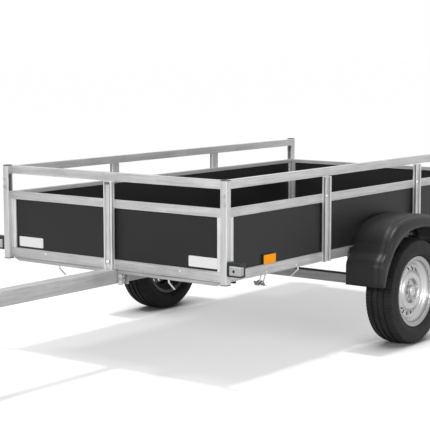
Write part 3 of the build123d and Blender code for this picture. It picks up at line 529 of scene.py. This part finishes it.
# nuts on the ears' outer and front faces, and under the saddle and the axle's brackets
EAR_FOOT, EAR_HEAD, EAR_WALL, EAR_FLANGE = 0.016, 0.014, 0.005, 0.014
SADDLE_END, SADDLE_IN, SADDLE_SUNK = 0.015, 0.010, 0.001
AXLE_END, AXLE_IN, AXLE_PLATE = 0.022, 0.026, 0.006
bar_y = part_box("drawbar")[1].y
ear_low, ear_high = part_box("drawbar_brackets")
axle_low, axle_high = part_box("axle_brackets")
saddle_low, saddle_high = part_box("axle_saddle")
places = []
for side in (1, -1):
    for z in (ear_low.z + EAR_FOOT, ear_high.z - EAR_HEAD):
        places.append(((ear_low.x + ear_high.x) / 2, side * (bar_y + EAR_WALL), z, (0, side, 0)))
        places.append((ear_high.x, side * (bar_y + EAR_FLANGE), z, FRONT))
    for x in (saddle_low.x + SADDLE_END, saddle_high.x - SADDLE_END):
        places.append((x, side * (saddle_high.y - SADDLE_IN), saddle_low.z + SADDLE_SUNK, DOWN))
    for x in (axle_low.x + AXLE_END, axle_high.x - AXLE_END):
        places.append((x, side * (axle_high.y - AXLE_IN), axle_high.z - AXLE_PLATE, DOWN))
heads("frame_nuts", "drawbar", nut_head, 0.0085, 0.007, places)

# ---------------------------------------------------------------- mudguards
# One black polypropylene moulding over each wheel. Its tread side is stepped down along the
# outer edge and rolls over into the side, which is cut away round the wheel.
wheel_low, wheel_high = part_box("wheel_disc_left")
tyre_low, tyre_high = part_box("tyre_left")
hub_x, hub_y, hub_z = ((low + high) / 2 for low, high in zip(tyre_low, tyre_high))
guard_low, guard_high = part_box("mudguard_left")
WALL = 0.0035

# the outline over the wheel, as (x, z) from the wheel's middle, ahead of it
TOP, SHOULDER = (0.0, guard_high.z - hub_z), (0.103, 0.3975)
HAUNCH, HAUNCH_MID, HAUNCH_END = (0.200, 0.379), (0.267, 0.337), (0.318, 0.270)
NECK, KNEE, FOOT = (0.336, 0.237), (0.392, 0.193), (0.392, guard_low.z - hub_z)
SHIN = (0.35, 0.6, 0.8, 1.0)                                    # steps from the knee to the foot

# the edge of the side's cut-away, and which shares of the outline and of that edge are joined
OPENING = ((0.0, 0.340), (0.060, 0.338), (0.112, 0.331), (0.160, 0.312), (0.207, 0.290),
           (0.261, 0.251), (0.303, 0.196), (0.330, 0.148), (0.350, 0.100), (0.358, 0.071))
MATCHED = ((0.0, 0.0), (0.36, 0.42), (0.55, 0.62), (0.66, 0.74), (0.80, 0.82), (1.0, 1.0))

# the tread side's section, as (across, down), its roll and how much tighter that is at the foot
SECTION = ((0.0, 0.032), (0.0, 0.005), (0.0015, 0.0015), (0.006, 0.0), (0.060, 0.0), (0.120, 0.0),
           (0.158, 0.0), (0.163, 0.0012), (0.1665, 0.0050), (0.170, 0.0064), (0.176, 0.0064),
           (0.185, 0.0070), (0.193, 0.0090), (0.200, 0.0125), (0.206, 0.0180), (0.210, 0.0240),
           (0.2125, 0.0320))
ROLL_AT, FOOT_ROLL = 0.158, 0.55
SIDE_SHARES, LIP_IN = (0.5, 0.97, 1.0), 0.005                   # rows down the side, and its lip


def through(a, b, c, steps):
    """Points along the arc from a to c by way of b, without c."""
    (ax, az), (bx, bz), (cx, cz) = a, b, c
    d = 2 * (ax * (bz - cz) + bx * (cz - az) + cx * (az - bz))
    a2, b2, c2 = ax * ax + az * az, bx * bx + bz * bz, cx * cx + cz * cz
    x = (a2 * (bz - cz) + b2 * (cz - az) + c2 * (az - bz)) / d
    z = (a2 * (cx - bx) + b2 * (ax - cx) + c2 * (bx - ax)) / d
    start, end = Vector((ax - x, az - z)), Vector((cx - x, cz - z))
    turn = start.angle_signed(end)
    return [Vector((x, z)) + Matrix.Rotation(-turn * i / steps, 2) @ start for i in range(steps)]


def eased_corner(a, b, c, radius, steps):
    """Points of a quadratic bend that rounds the corner at b."""
    a, b, c = Vector(a), Vector(b), Vector(c)
    start, end = b + (a - b).normalized() * radius, b + (c - b).normalized() * radius
    shares = [i / steps for i in range(steps + 1)]
    return [(1 - t) ** 2 * start + 2 * t * (1 - t) * b + t * t * end for t in shares]


half = through(TOP, SHOULDER, HAUNCH, 9) + through(HAUNCH, HAUNCH_MID, HAUNCH_END, 8)
half += eased_corner(HAUNCH_MID, HAUNCH_END, NECK, 0.014, 4)
half += eased_corner(HAUNCH_END, NECK, KNEE, 0.016, 6)
half += eased_corner(NECK, KNEE, FOOT, 0.030, 8)
half += [Vector((KNEE[0], KNEE[1] + (FOOT[1] - KNEE[1]) * t)) for t in SHIN]
line = [Vector((-p.x, p.y)) for p in reversed(half[1:])] + half
normals = []
for i, p in enumerate(line):
    along = line[min(i + 1, len(line) - 1)] - line[max(i - 1, 0)]
    normals.append(Vector((-along.y, along.x)).normalized())


def run_lengths(points):
    """How far along the line through the points each of them is."""
    runs = [0.0]
    for a, b in zip(points, points[1:]):
        runs.append(runs[-1] + (Vector(b) - Vector(a)).length)
    return runs


def between_pairs(pairs, value):
    """The second number of a pair, read off between the pairs at a value of the first."""
    for (a, low), (b, high) in zip(pairs, pairs[1:]):
        if value <= b:
            return low + (high - low) * (value - a) / (b - a)
    return pairs[-1][1]


half_runs, opening_runs = run_lengths(half), run_lengths(OPENING)


def opening_point(index):
    """Where the side's cut-away edge lies for a point of the outline."""
    step = index - (len(half) - 1)
    at = between_pairs(MATCHED, half_runs[abs(step)] / half_runs[-1]) * opening_runs[-1]
    x, z = (between_pairs(list(zip(opening_runs, axis)), at) for axis in zip(*OPENING))
    return Vector((x if step > 0 else -x, z))


def face_outward(shell):
    """All faces one way, with the highest of them facing up."""
    bmesh.ops.recalc_face_normals(shell, faces=shell.faces)
    highest = max(shell.faces, key=lambda face: face.calc_center_median().z)
    if highest.normal.z < 0:
        bmesh.ops.reverse_faces(shell, faces=shell.faces)


guard_plastic = film("guard_plastic", (0.0105, 0.0105, 0.0108), 0.38, 0.27, 0.25)
for name, side in SIDES:
    node = "mudguard_" + name
    shell = bmesh.new()
    rows = []
    for index, (p, n) in enumerate(zip(line, normals)):
        row = []
        lowered = min(1.0, max(0.0, (HAUNCH[1] - p.y) / (HAUNCH[1] - KNEE[1])))
        tight = 1 - (1 - FOOT_ROLL) * lowered
        for across, down in SECTION:
            down *= tight
            if across > ROLL_AT:
                across = SECTION[-1][0] - (SECTION[-1][0] - across) * tight
            q = p - n * down
            row.append(shell.verts.new((hub_x + q.x, side * (guard_low.y + across), hub_z + q.y)))
        rim = p - n * SECTION[-1][1] * tight
        edge = opening_point(index)
        for share in SIDE_SHARES:
            q = rim.lerp(edge, share)
            inward = 0.0 if share < 1.0 else LIP_IN
            row.append(shell.verts.new((hub_x + q.x, side * (guard_high.y - inward), hub_z + q.y)))
        rows.append(row)
    for row, following in zip(rows, rows[1:]):
        for a, b, c, d in zip(row, row[1:], following[1:], following):
            shell.faces.new((a, b, c, d) if side < 0 else (d, c, b, a))
    face_outward(shell)
    mesh = mesh_from(shell, node + "_moulding", guard_plastic)
    mesh.shade_smooth()
    piece = linked(node + "_moulding", mesh)
    wall = piece.modifiers.new("wall", "SOLIDIFY")
    wall.thickness, wall.offset = WALL, -1.0
    settle(piece, node)

dress("mudguard_stays", guard_plastic, 0.002)
STAY_END, STAY_FOOT = 0.015, 0.016
stay_low, stay_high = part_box("mudguard_stays")
places = []
for x in (stay_low.x + STAY_END, stay_high.x - STAY_END):
    for side in (1, -1):
        places.append((x, side * (guard_low.y + WALL), stay_low.z + STAY_FOOT, (0, side, 0)))
heads("guard_nuts", "mudguard_left", nut_head, 0.0075, 0.005, places, guard_plastic)

# ---------------------------------------------------------------- tyres
# Radial road tyres: black rubber with three straight grooves, fine cuts across the ribs and
# ribbed shoulders, a rounded bead ring beside the rim.
TYRE_R = (tyre_high.z - tyre_low.z) / 2
TYRE_HALF = (tyre_high.y - tyre_low.y) / 2
RIM = (wheel_high.z - wheel_low.z) / 2
PITCHES, SLANT = 84, 0.22                                       # round the tyre; lean of its cuts
GROOVES = ((-0.034, 0.0042), (0.0, 0.0042), (0.034, 0.0042))    # (middle, half width)
GROOVE_D, GROOVE_LIP, SHOULDER_Y = 0.007, 0.0012, 0.058
CUT_FROM, CUT_TO, CUT_D, SHOULDER_CUT_D = 0.44, 0.50, 0.0014, 0.0026
CUTS_END, TREAD_ZONE = 0.004, 0.03                              # in from the side; in from the crown
CROWN_DROP, ROUND_FROM, ROUND_DROP = 0.0035, 0.55, 0.011        # the tread's rounding across

# the sidewall from the bead to the shoulder, as (radius, y)
sidewall = ((RIM - 0.0150, 0.0605), (RIM - 0.001, 0.0612), (RIM + 0.0015, 0.0640), (RIM + 0.006, 0.0705),
            (RIM + 0.010, 0.0755), (RIM + 0.0125, 0.0760), (RIM + 0.0140, 0.0780), (RIM + 0.022, 0.0815),
            (RIM + 0.034, 0.0840), (RIM + 0.046, 0.0836), (RIM + 0.0485, 0.0826), (RIM + 0.058, 0.0815),
            (TYRE_R - 0.024, 0.0782), (TYRE_R - 0.020, 0.0775))


def crown(y):
    """Radius of the tread at a distance from the tyre's middle."""
    share = abs(y) / TYRE_HALF
    return TYRE_R - CROWN_DROP * share ** 2 - ROUND_DROP * max(0.0, share - ROUND_FROM) ** 1.5 / 0.3


# one pitch of the tread: where its points lie across, then a column of them at each step round
tread = [TYRE_HALF - 0.0085, 0.0720, 0.0670, 0.0620, SHOULDER_Y]
across = list(tread)
for y, w in reversed(GROOVES):
    across += [y + w + GROOVE_LIP, y + w, y - w, y - w - GROOVE_LIP]
    if y > GROOVES[0][0]:
        across.append(y - GROOVES[-1][0] / 2)
across += [-y for y in reversed(tread)]
turns = 2 * pi / PITCHES
shell = bmesh.new()
columns = []
for step in (0.0, 0.25, CUT_FROM, CUT_TO, 0.60, 0.80, 1.0):
    column = list(sidewall)
    for y in across:
        r = crown(y)
        if any(abs(abs(y - g) - w) < 1e-6 or abs(y - g) < w for g, w in GROOVES):
            r -= GROOVE_D
        elif CUT_FROM <= step <= CUT_TO and abs(y) < TYRE_HALF - CUTS_END:
            r -= SHOULDER_CUT_D if abs(y) >= SHOULDER_Y else CUT_D
        column.append((r, y))
    column += [(r, -y) for r, y in reversed(sidewall)]
    ring = []
    for r, y in column:
        lean = y / TYRE_HALF if r > TYRE_R - TREAD_ZONE else 1 if y > 0 else -1
        angle = step * turns + SLANT * turns * lean
        ring.append(shell.verts.new((r * sin(angle), y, r * cos(angle))))
    columns.append(ring)
for ring, following in zip(columns, columns[1:]):
    for a, b, c, d in zip(ring, ring[1:], following[1:], following):
        shell.faces.new((a, b, c, d))
pitch_mesh = mesh_from(shell, "tyre_pitch")

# a tree that repeats the pitch round the axle and welds the joints
ring_tree = new_tree("pitches_round_an_axle", Count="Int", Centre="Vector")
add = partial(add_node, ring_tree)
given = add("NodeGroupInput").outputs
spots = add("GeometryNodePoints", values={"Count": given["Count"], "Position": given["Centre"]})
share = add("ShaderNodeMath", dict(operation="DIVIDE"), {0: 2 * pi, 1: given["Count"]})
index = add("GeometryNodeInputIndex")
angle = add("ShaderNodeMath", dict(operation="MULTIPLY"), {0: index.outputs[0], 1: share.outputs[0]})
turned = add("ShaderNodeCombineXYZ", values={1: angle.outputs[0]})
finish_tree(ring_tree, given, spots.outputs[0], given["Geometry"], turned.outputs[0], 0.00005)

rubber = Finish("tyre_rubber", Specular_IOR_Level=0.10)
dust = rubber.noise(14.0, detail=5.0)
speck = rubber.noise(320.0, detail=2.0)
dusty = rubber.between(dust, 0.35, 0.7)
rubber.set("Base Color", rubber.mix(dusty, (0.024, 0.024, 0.0243), (0.040, 0.040, 0.0403)))
rubber.set("Roughness", 0.52 + 0.18 * dust)
rubber.bump(speck + dust, 0.0002, 0.4)
for name, side in SIDES:
    node = "tyre_" + name
    centre = (hub_x, side * hub_y, hub_z)
    piece = linked(node + "_cover", pitch_mesh.copy())
    grow(piece, ring_tree, {"Count": PITCHES, "Centre": centre, "Material": rubber.material})
    shell = bmesh.new()
    shell.from_mesh(piece.data)
    face_outward(shell)
    shell.to_mesh(piece.data)
    shell.free()
    piece.data.shade_smooth()
    piece.data.set_sharp_from_angle(angle=radians(32))
    settle(piece, node)
dress("jockey_tyre", rubber.material, 0.0, 40)

# ---------------------------------------------------------------- wheels and hubs
# Pressed steel discs welded into rolled 13-inch rims, lacquered silver, four bolts on a 98 mm
# circle round a plain centre cap, and a rubber valve through the rim.
silver = Finish("wheel_silver", Coat_Weight=0.3)
mist = silver.noise(6.0, detail=4.0)
flake = silver.noise(600.0, detail=1.0)
grime_and_shade = silver.noise(22.0, detail=5.0)

# painted shade: the silver darkens towards the rim, and the side that faces inboard is painted near black and
# made rougher and less metallic
from_hub = {"X": silver.along(0) - hub_x, "Z": silver.along(2) - hub_z}
spoke = silver.node("ShaderNodeCombineXYZ", values=from_hub)
spread = silver.node("ShaderNodeVectorMath", dict(operation="LENGTH"), {0: spoke}, out=1)
RIM_FROM, RIM_TO, INBOARD_FROM = 0.150, 0.172, 0.016            # from the hub; from the middle
rim_shade = silver.between(spread, RIM_FROM, RIM_TO)
clouded = silver.between(mist * 0.7 + flake * 0.3, 0.35, 0.65)
lacquer = silver.mix(clouded, (0.47, 0.47, 0.475), (0.61, 0.61, 0.615))
lacquer = silver.mix(rim_shade * 0.65, lacquer, (0.22, 0.22, 0.225))
sideways = silver.along(1)
beside = sideways.maths("ABSOLUTE", sideways)
inboard_shade = silver.between(hub_y + INBOARD_FROM + 0.006 * grime_and_shade - beside, 0.0, 0.004)
inboard_shade_colour = silver.mix(grime_and_shade, (0.03, 0.03, 0.031), (0.09, 0.088, 0.085))
silver.set("Base Color", silver.mix(inboard_shade, lacquer, inboard_shade_colour))
silver.set("Roughness", 0.24 + 0.16 * grime_and_shade + 0.3 * inboard_shade)
silver.set("Metallic", 0.6 - 0.5 * inboard_shade)
silver.bump(flake, 0.0001, 0.2)

# the walls of the slots round the disc, painted near black as their shade
HOLES_FROM, HOLES_TO, HOLE_WALL = 0.100, 0.146, 0.35            # from the hub; their walls' tilt
slot_shade = Finish("wheel_slot_shade", 0.8, Specular_IOR_Level=0.1)
slot_shade_noise = slot_shade.noise(60.0)
slot_shade.set("Base Color", slot_shade.mix(slot_shade_noise, (0.006, 0.006, 0.006), (0.014, 0.014, 0.014)))
for node in ("wheel_disc_left", "wheel_disc_right"):
    mesh = dress(node, silver.material, 0.0, 28).data
    mesh.materials.append(slot_shade.material)
    for face in mesh.polygons:
        away = sqrt((face.center.x - hub_x) ** 2 + (face.center.z - hub_z) ** 2)
        if HOLES_FROM < away < HOLES_TO and abs(face.normal.y) < HOLE_WALL:
            face.material_index = 1
dress("jockey_wheel", plated, 0.0, 28)
dark_steel = film("hub_paint", (0.035, 0.035, 0.036), 0.45)
for node in ("axle_arms", "hub_left", "hub_right"):
    dress(node, dark_steel, 0.0, 28)

BOLT_CIRCLE, BOLT_FACE, BOLT_TURNS = 0.049, 0.024, (20, 110, 200, 290)
CAP_R, CAP_FACE = 0.030, 0.047
VALVE_R, VALVE_FACE, VALVE_TURN = 0.150, 0.045, 118


def on_wheel(side, away, turn, face):
    """A place on a wheel's outer side: how far from its axis, turned by how much, how far out."""
    turn = radians(turn)
    return (hub_x + away * sin(turn), side * (hub_y + face), hub_z + away * cos(turn), (0, side, 0))


for name, side in SIDES:
    node = "wheel_disc_" + name
    places = [on_wheel(side, BOLT_CIRCLE, turn, BOLT_FACE) for turn in BOLT_TURNS]
    heads(node + "_bolts", node, nut_head, 0.0095, 0.016, places)
    cap = [on_wheel(side, 0.0, 0, CAP_FACE)]
    heads(node + "_cap", node, dome_head, CAP_R, 0.009, cap, silver.material)
    valve = [on_wheel(side, VALVE_R, VALVE_TURN, VALVE_FACE)]
    heads(node + "_valve", node, dome_head, 0.005, 0.024, valve, rubber.material)

# ---------------------------------------------------------------- lamps and reflectors
# Black moulded housings. The front marker lamp stands on the corner post, its clear lens wraps
# the front and the outer side; amber reflectors are glued to the boards; red lenses behind.
housing = film("lamp_housing", (0.016, 0.016, 0.0165), 0.34)
dress("rear_lamps", housing, 0.0015)
dress("post_caps", housing, 0.0008)


def ribbed_lens(name, roughness, coat, scale, dark, light):
    """A glossy lens with fine ribs moulded in it."""
    finish = Finish(name, roughness, Coat_Weight=coat)
    values = {"Vector": finish.place(), "Scale": scale}
    ribs = finish.node("ShaderNodeTexWave", dict(bands_direction="Y"), values, out=1)
    finish.set("Base Color", finish.mix(ribs, dark, light))
    finish.bump(ribs, 0.0006, 0.6)
    return finish.material


clear_lens = ribbed_lens("clear_lens", 0.10, 0.6, 90.0, (0.40, 0.41, 0.42), (0.54, 0.55, 0.56))
LAMP_UP, LAMP_H, LAMP_OUT, CASE_BACK = 0.034, 0.068, 0.003, 0.004
GLASS_FRONT, GLASS_IN, GLASS_UP, GLASS_DOWN, GLASS_OUT = 0.013, 0.014, 0.008, 0.017, 0.0035
BULB_IN, BULB_UP = 0.040, 0.028
lamp_low, lamp_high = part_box("front_lamps")
lens_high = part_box("front_lamp_lenses")[1]
lamp_foot = bed + LAMP_UP
lamp_top = lamp_foot + LAMP_H
for name, side in SIDES:
    slab("front_lamp_case_" + name, (lamp_low.x, side * post_high.y, lamp_foot),
         (lens_high.x - CASE_BACK, side * (lamp_high.y + LAMP_OUT), lamp_top), 0.0035, housing,
         "front_lamps", True)
    slab("front_lamp_glass_" + name,
         (lamp_low.x + GLASS_FRONT, side * (post_high.y + GLASS_IN), lamp_foot + GLASS_UP),
         (lens_high.x, side * (lamp_high.y + GLASS_OUT), lamp_top - GLASS_DOWN), 0.005, clear_lens,
         "front_lamp_lenses", True)
    places = [(lens_high.x - 0.001, side * (post_high.y + BULB_IN), lamp_foot + BULB_UP, FRONT)]
    heads("front_lamp_bulb_" + name, "front_lamp_lenses", dome_head, 0.0085, 0.002, places, housing)

# the side reflectors are given a faint painted glow
amber = Finish("amber_lens", 0.35, Specular_IOR_Level=0.12, Emission_Strength=0.22,
               Emission_Color=(1.0, 0.30, 0.0, 1.0))
cells = amber.node("ShaderNodeTexVoronoi", dict(feature="F1"), {"Vector": amber.place(), "Scale": 260.0})
facets = amber.between(cells, 0.0, 0.7)
amber.set("Base Color", amber.mix(facets, (0.86, 0.27, 0.0), (0.98, 0.36, 0.0)))
amber.bump(cells, 0.0004, 0.6)
HOLDER_H, HOLDER_IN, HOLDER_AHEAD = 0.047, 0.003, 0.002
FACE_TOP, FACE_T, FACE_LIP, FACE_BACK = 0.044, 0.004, 0.001, 0.003
low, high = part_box("side_reflectors")
for name, side in SIDES:
    slab("reflector_holder_" + name, (low.x, side * board_high.y, low.z),
         (high.x + HOLDER_AHEAD, side * (high.y - HOLDER_IN), low.z + HOLDER_H), 0.0025, housing,
         "side_reflectors", True)
    slab("reflector_face_" + name, (low.x + FACE_BACK, side * (high.y - FACE_T), low.z + FACE_LIP),
         (high.x - FACE_LIP, side * high.y, low.z + FACE_TOP), 0.0015, amber.material,
         "side_reflectors", True)

# the rear lamps' lenses and their screws
red_lens = ribbed_lens("red_lens", 0.16, 0.5, 60.0, (0.34, 0.006, 0.006), (0.52, 0.015, 0.012))
dress("rear_lamp_lenses", red_lens, 0.002)
rear_low, rear_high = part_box("rear_lamp_lenses")
SCREWS_IN, SCREW_SUNK, SCREW_DOWN = (0.012, 0.196), 0.0022, 0.012
places = []
for side in (1, -1):
    for inset in SCREWS_IN:
        places.append((rear_low.x + SCREW_SUNK, side * (rear_high.y - inset), rear_high.z - SCREW_DOWN, BACK))
heads("lens_screws", "rear_lamp_lenses", dome_head, 0.004, 0.002, places, dark_plated)

# the cables' plugs under the rails behind the front lamps
PLUG_BACK, PLUG_IN, PLUG_Z = (0.088, 0.072), (0.026, 0.004), (-0.012, 0.002)
for name, side in SIDES:
    low, high = [(face_x - back, side * (face_y - inward), bed + z)
                 for back, inward, z in zip(PLUG_BACK, PLUG_IN, PLUG_Z)]
    slab("rail_plug_" + name, low, high, 0.002, housing, "front_lamps")

# ---------------------------------------------------------------- hooks, hinges and latches
# Bright zinc-plated rod and strip: tie hooks welded under the rails, strap hinges with rolled
# knuckles, and over-centre latches at the tailgate's upper corners.
bright = galvanised("plated_bright", (0.72, 0.72, 0.72), (0.56, 0.56, 0.565), 2, 0.32, 0.7)
for node, edge in (("tie_hooks", 0.0), ("tailgate_hinges", 0.0005), ("tailgate_latches", 0.001),
                   ("latch_keepers", 0.001)):
    dress(node, bright, edge)


def bar(shell, points, radius, sides=10):
    """Round rod through the points, added to a shell, with closed ends."""
    points = [Vector(point) for point in points]
    turns = [2 * pi * k / sides for k in range(sides)]
    rings = []
    for i, point in enumerate(points):
        along = (points[min(i + 1, len(points) - 1)] - points[max(i - 1, 0)]).normalized()
        out = (out - along * out.dot(along)).normalized() if rings else along.orthogonal().normalized()
        far = along.cross(out)
        rings.append([shell.verts.new(point + (out * cos(turn) + far * sin(turn)) * radius)
                      for turn in turns])
    for ring, following in zip(rings, rings[1:]):
        for k in range(sides):
            shell.faces.new((ring[k], ring[(k + 1) % sides], following[(k + 1) % sides], following[k]))
    shell.faces.new(rings[0][::-1])
    shell.faces.new(rings[-1])


# a wire hanger under the left rail: two bent rods, as (ahead, in, up) from where each is fixed
HANGER_X, HANGER_IN, WIRE_R = (0.3400, 0.3050), 0.012, 0.0032
WIRE = ((0.000, 0.000, 0.001), (0.002, 0.000, -0.014), (0.007, 0.002, -0.030), (0.009, 0.010, -0.040),
        (0.010, 0.022, -0.044))
hang_y = face_y - HANGER_IN
shell = bmesh.new()
for x in HANGER_X:
    bar(shell, [(x + ahead, hang_y - inward, bed + up) for ahead, inward, up in WIRE], WIRE_R)
bmesh.ops.recalc_face_normals(shell, faces=shell.faces)
mesh = mesh_from(shell, "hanger_wires", bright)
mesh.shade_smooth()
settle(linked("hanger_wires", mesh), "tie_hooks", False)

# and the folded strip in its loop, as (back, up) along the fold
FOLD_X, FOLD_IN, FOLD_HALF, FOLD_T = 0.3590, 0.016, 0.013, 0.003
FOLD = ((0.000, -0.030), (0.010, -0.050), (0.024, -0.040), (0.034, -0.032), (0.046, -0.036),
        (0.058, -0.058), (0.068, -0.060))
shell = bmesh.new()
rows = [[shell.verts.new((FOLD_X - back, hang_y - FOLD_IN + across, bed + up))
         for across in (-FOLD_HALF, 0.0, FOLD_HALF)] for back, up in FOLD]
for row, following in zip(rows, rows[1:]):
    for a, b, c, d in zip(row, row[1:], following[1:], following):
        shell.faces.new((a, b, c, d))
bmesh.ops.recalc_face_normals(shell, faces=shell.faces)
strip = linked("hanger_strip", mesh_from(shell, "hanger_strip", dark_plated))
wall = strip.modifiers.new("wall", "SOLIDIFY")
wall.thickness, wall.offset = FOLD_T, 0.0
settle(strip, "tie_hooks", False)

# ---------------------------------------------------------------- coupling and jockey wheel
# Pressed, zinc-plated ball coupling with its lift handle; the jockey wheel's tubes slide in a
# screwed clamp on the drawbar's side and its crank turns the screw inside.
for node, edge in (("coupling_head", 0.001), ("coupling_handle", 0.001), ("jockey_clamp", 0.0008),
                   ("jockey_outer_tube", 0.0), ("jockey_crank", 0.0008), ("jockey_inner_tube", 0.0),
                   ("jockey_fork", 0.001)):
    dress(node, bright, edge)

# ---------------------------------------------------------------- studio
# A pale floor that runs out to a white horizon and keeps the trailer's soft shadow, a high soft
# sun straight overhead, wide low lamps in front and to the left, a small one over the far side.
FLOOR_HALF = 200.0
floor_corners = [(FLOOR_HALF * a, FLOOR_HALF * b, 0) for a, b in ((-1, -1), (1, -1), (1, 1), (-1, 1))]
studio_floor = linked("studio_floor", bpy.data.meshes.new("studio_floor"))
studio_floor.data.from_pydata(floor_corners, [], [(0, 1, 2, 3)])

# it is paler where it is seen than where it only lights the trailer; its glow fades near things, as a painted
# contact shadow
SEEN_RAYS = ("Is Camera Ray", "Is Glossy Ray", "Is Transmission Ray")
pale = Finish("studio_floor", 1.0, Specular_IOR_Level=0.0, Emission_Strength=1.0)
straight, mirrored, refracted = (pale.node("ShaderNodeLightPath", out=ray) for ray in SEEN_RAYS)
seen = straight + mirrored + refracted > 0.5
pale.set("Base Color", pale.mix(seen, (0.20, 0.20, 0.20), (0.50, 0.50, 0.50)))
SHADE_REACH = 0.30
near = pale.node("ShaderNodeAmbientOcclusion", dict(samples=12), {"Distance": SHADE_REACH}, out=1)
open_floor = pale.between(near, 0.35, 0.92)
pale.set("Emission Color", pale.mix(seen * open_floor, (0, 0, 0), (0.54, 0.54, 0.54)))
studio_floor.data.materials.append(pale.material)

# the sky is white where it is seen, straight or mirrored, and gives less light than that
SKY_FILL = 0.24
world = bpy.data.worlds.new("studio")
bpy.context.scene.world = world
world.use_nodes = True
tree = world.node_tree
background = tree.nodes["Background"]
background.inputs["Color"].default_value = (1, 1, 1, 1)
rays = add_node(tree, "ShaderNodeLightPath").outputs
shown = rays[SEEN_RAYS[0]]
for ray in SEEN_RAYS[1:]:
    either = add_node(tree, "ShaderNodeMath", dict(operation="MAXIMUM"), {0: shown, 1: rays[ray]})
    shown = either.outputs[0]
sky = add_node(tree, "ShaderNodeMapRange", values={"To Min": SKY_FILL, "Value": shown})
tree.links.new(sky.outputs[0], background.inputs["Strength"])

SUN_POWER, SUN_SPREAD = 2.1, radians(7)
sun = bpy.data.lights.new("overhead", "SUN")
sun.energy, sun.angle = SUN_POWER, SUN_SPREAD
linked("overhead", sun)


def softbox(name, place, aim, width, height, power):
    """Rectangular studio light turned towards a point."""
    light = bpy.data.lights.new(name, "AREA")
    light.shape, light.size, light.size_y, light.energy = "RECTANGLE", width, height, power
    turn = (Vector(aim) - Vector(place)).to_track_quat("-Z", "Y").to_matrix().to_4x4()
    linked(name, light).matrix_world = Matrix.Translation(place) @ turn


# each light: where it stands, what it is turned towards, its width, height and power
softbox("front_low", (7.5, 1.5, 3.2), (0, 0.2, 0.6), 3.0, 1.4, 310)
softbox("over_far_side", (1.7, -2.8, 4.8), (-0.4, 0.8, 0.5), 1.4, 0.6, 65)
softbox("side_low", (0.5, 7.5, 1.5), (-0.3, 0.2, 0.6), 4.0, 1.4, 210)

# the camera stands ahead and to the left, higher than the rails, and looks slightly down
CAMERA_AT, CAMERA_LENS, CAMERA_FILM = (5.5505, 4.3805, 1.5444), 115.28, 36.0
YAW, PITCH, ROLL = radians(37.329), radians(6.907), radians(-0.071)
ahead = Vector((-cos(YAW) * cos(PITCH), -sin(YAW) * cos(PITCH), -sin(PITCH)))
level = ahead.cross(Vector((0, 0, 1))).normalized()
above = level.cross(ahead)
right = cos(ROLL) * level + sin(ROLL) * above
up = cos(ROLL) * above - sin(ROLL) * level
lens = bpy.data.cameras.new("camera")
lens.sensor_width, lens.lens = CAMERA_FILM, CAMERA_LENS
lens.clip_start, lens.clip_end = 0.1, 200.0
camera = linked("camera", lens)
turn = Matrix((right, up, -ahead)).transposed().to_4x4()
camera.matrix_world = Matrix.Translation(CAMERA_AT) @ turn
bpy.context.scene.camera = camera
bpy.context.scene.view_settings.view_transform = "Standard"
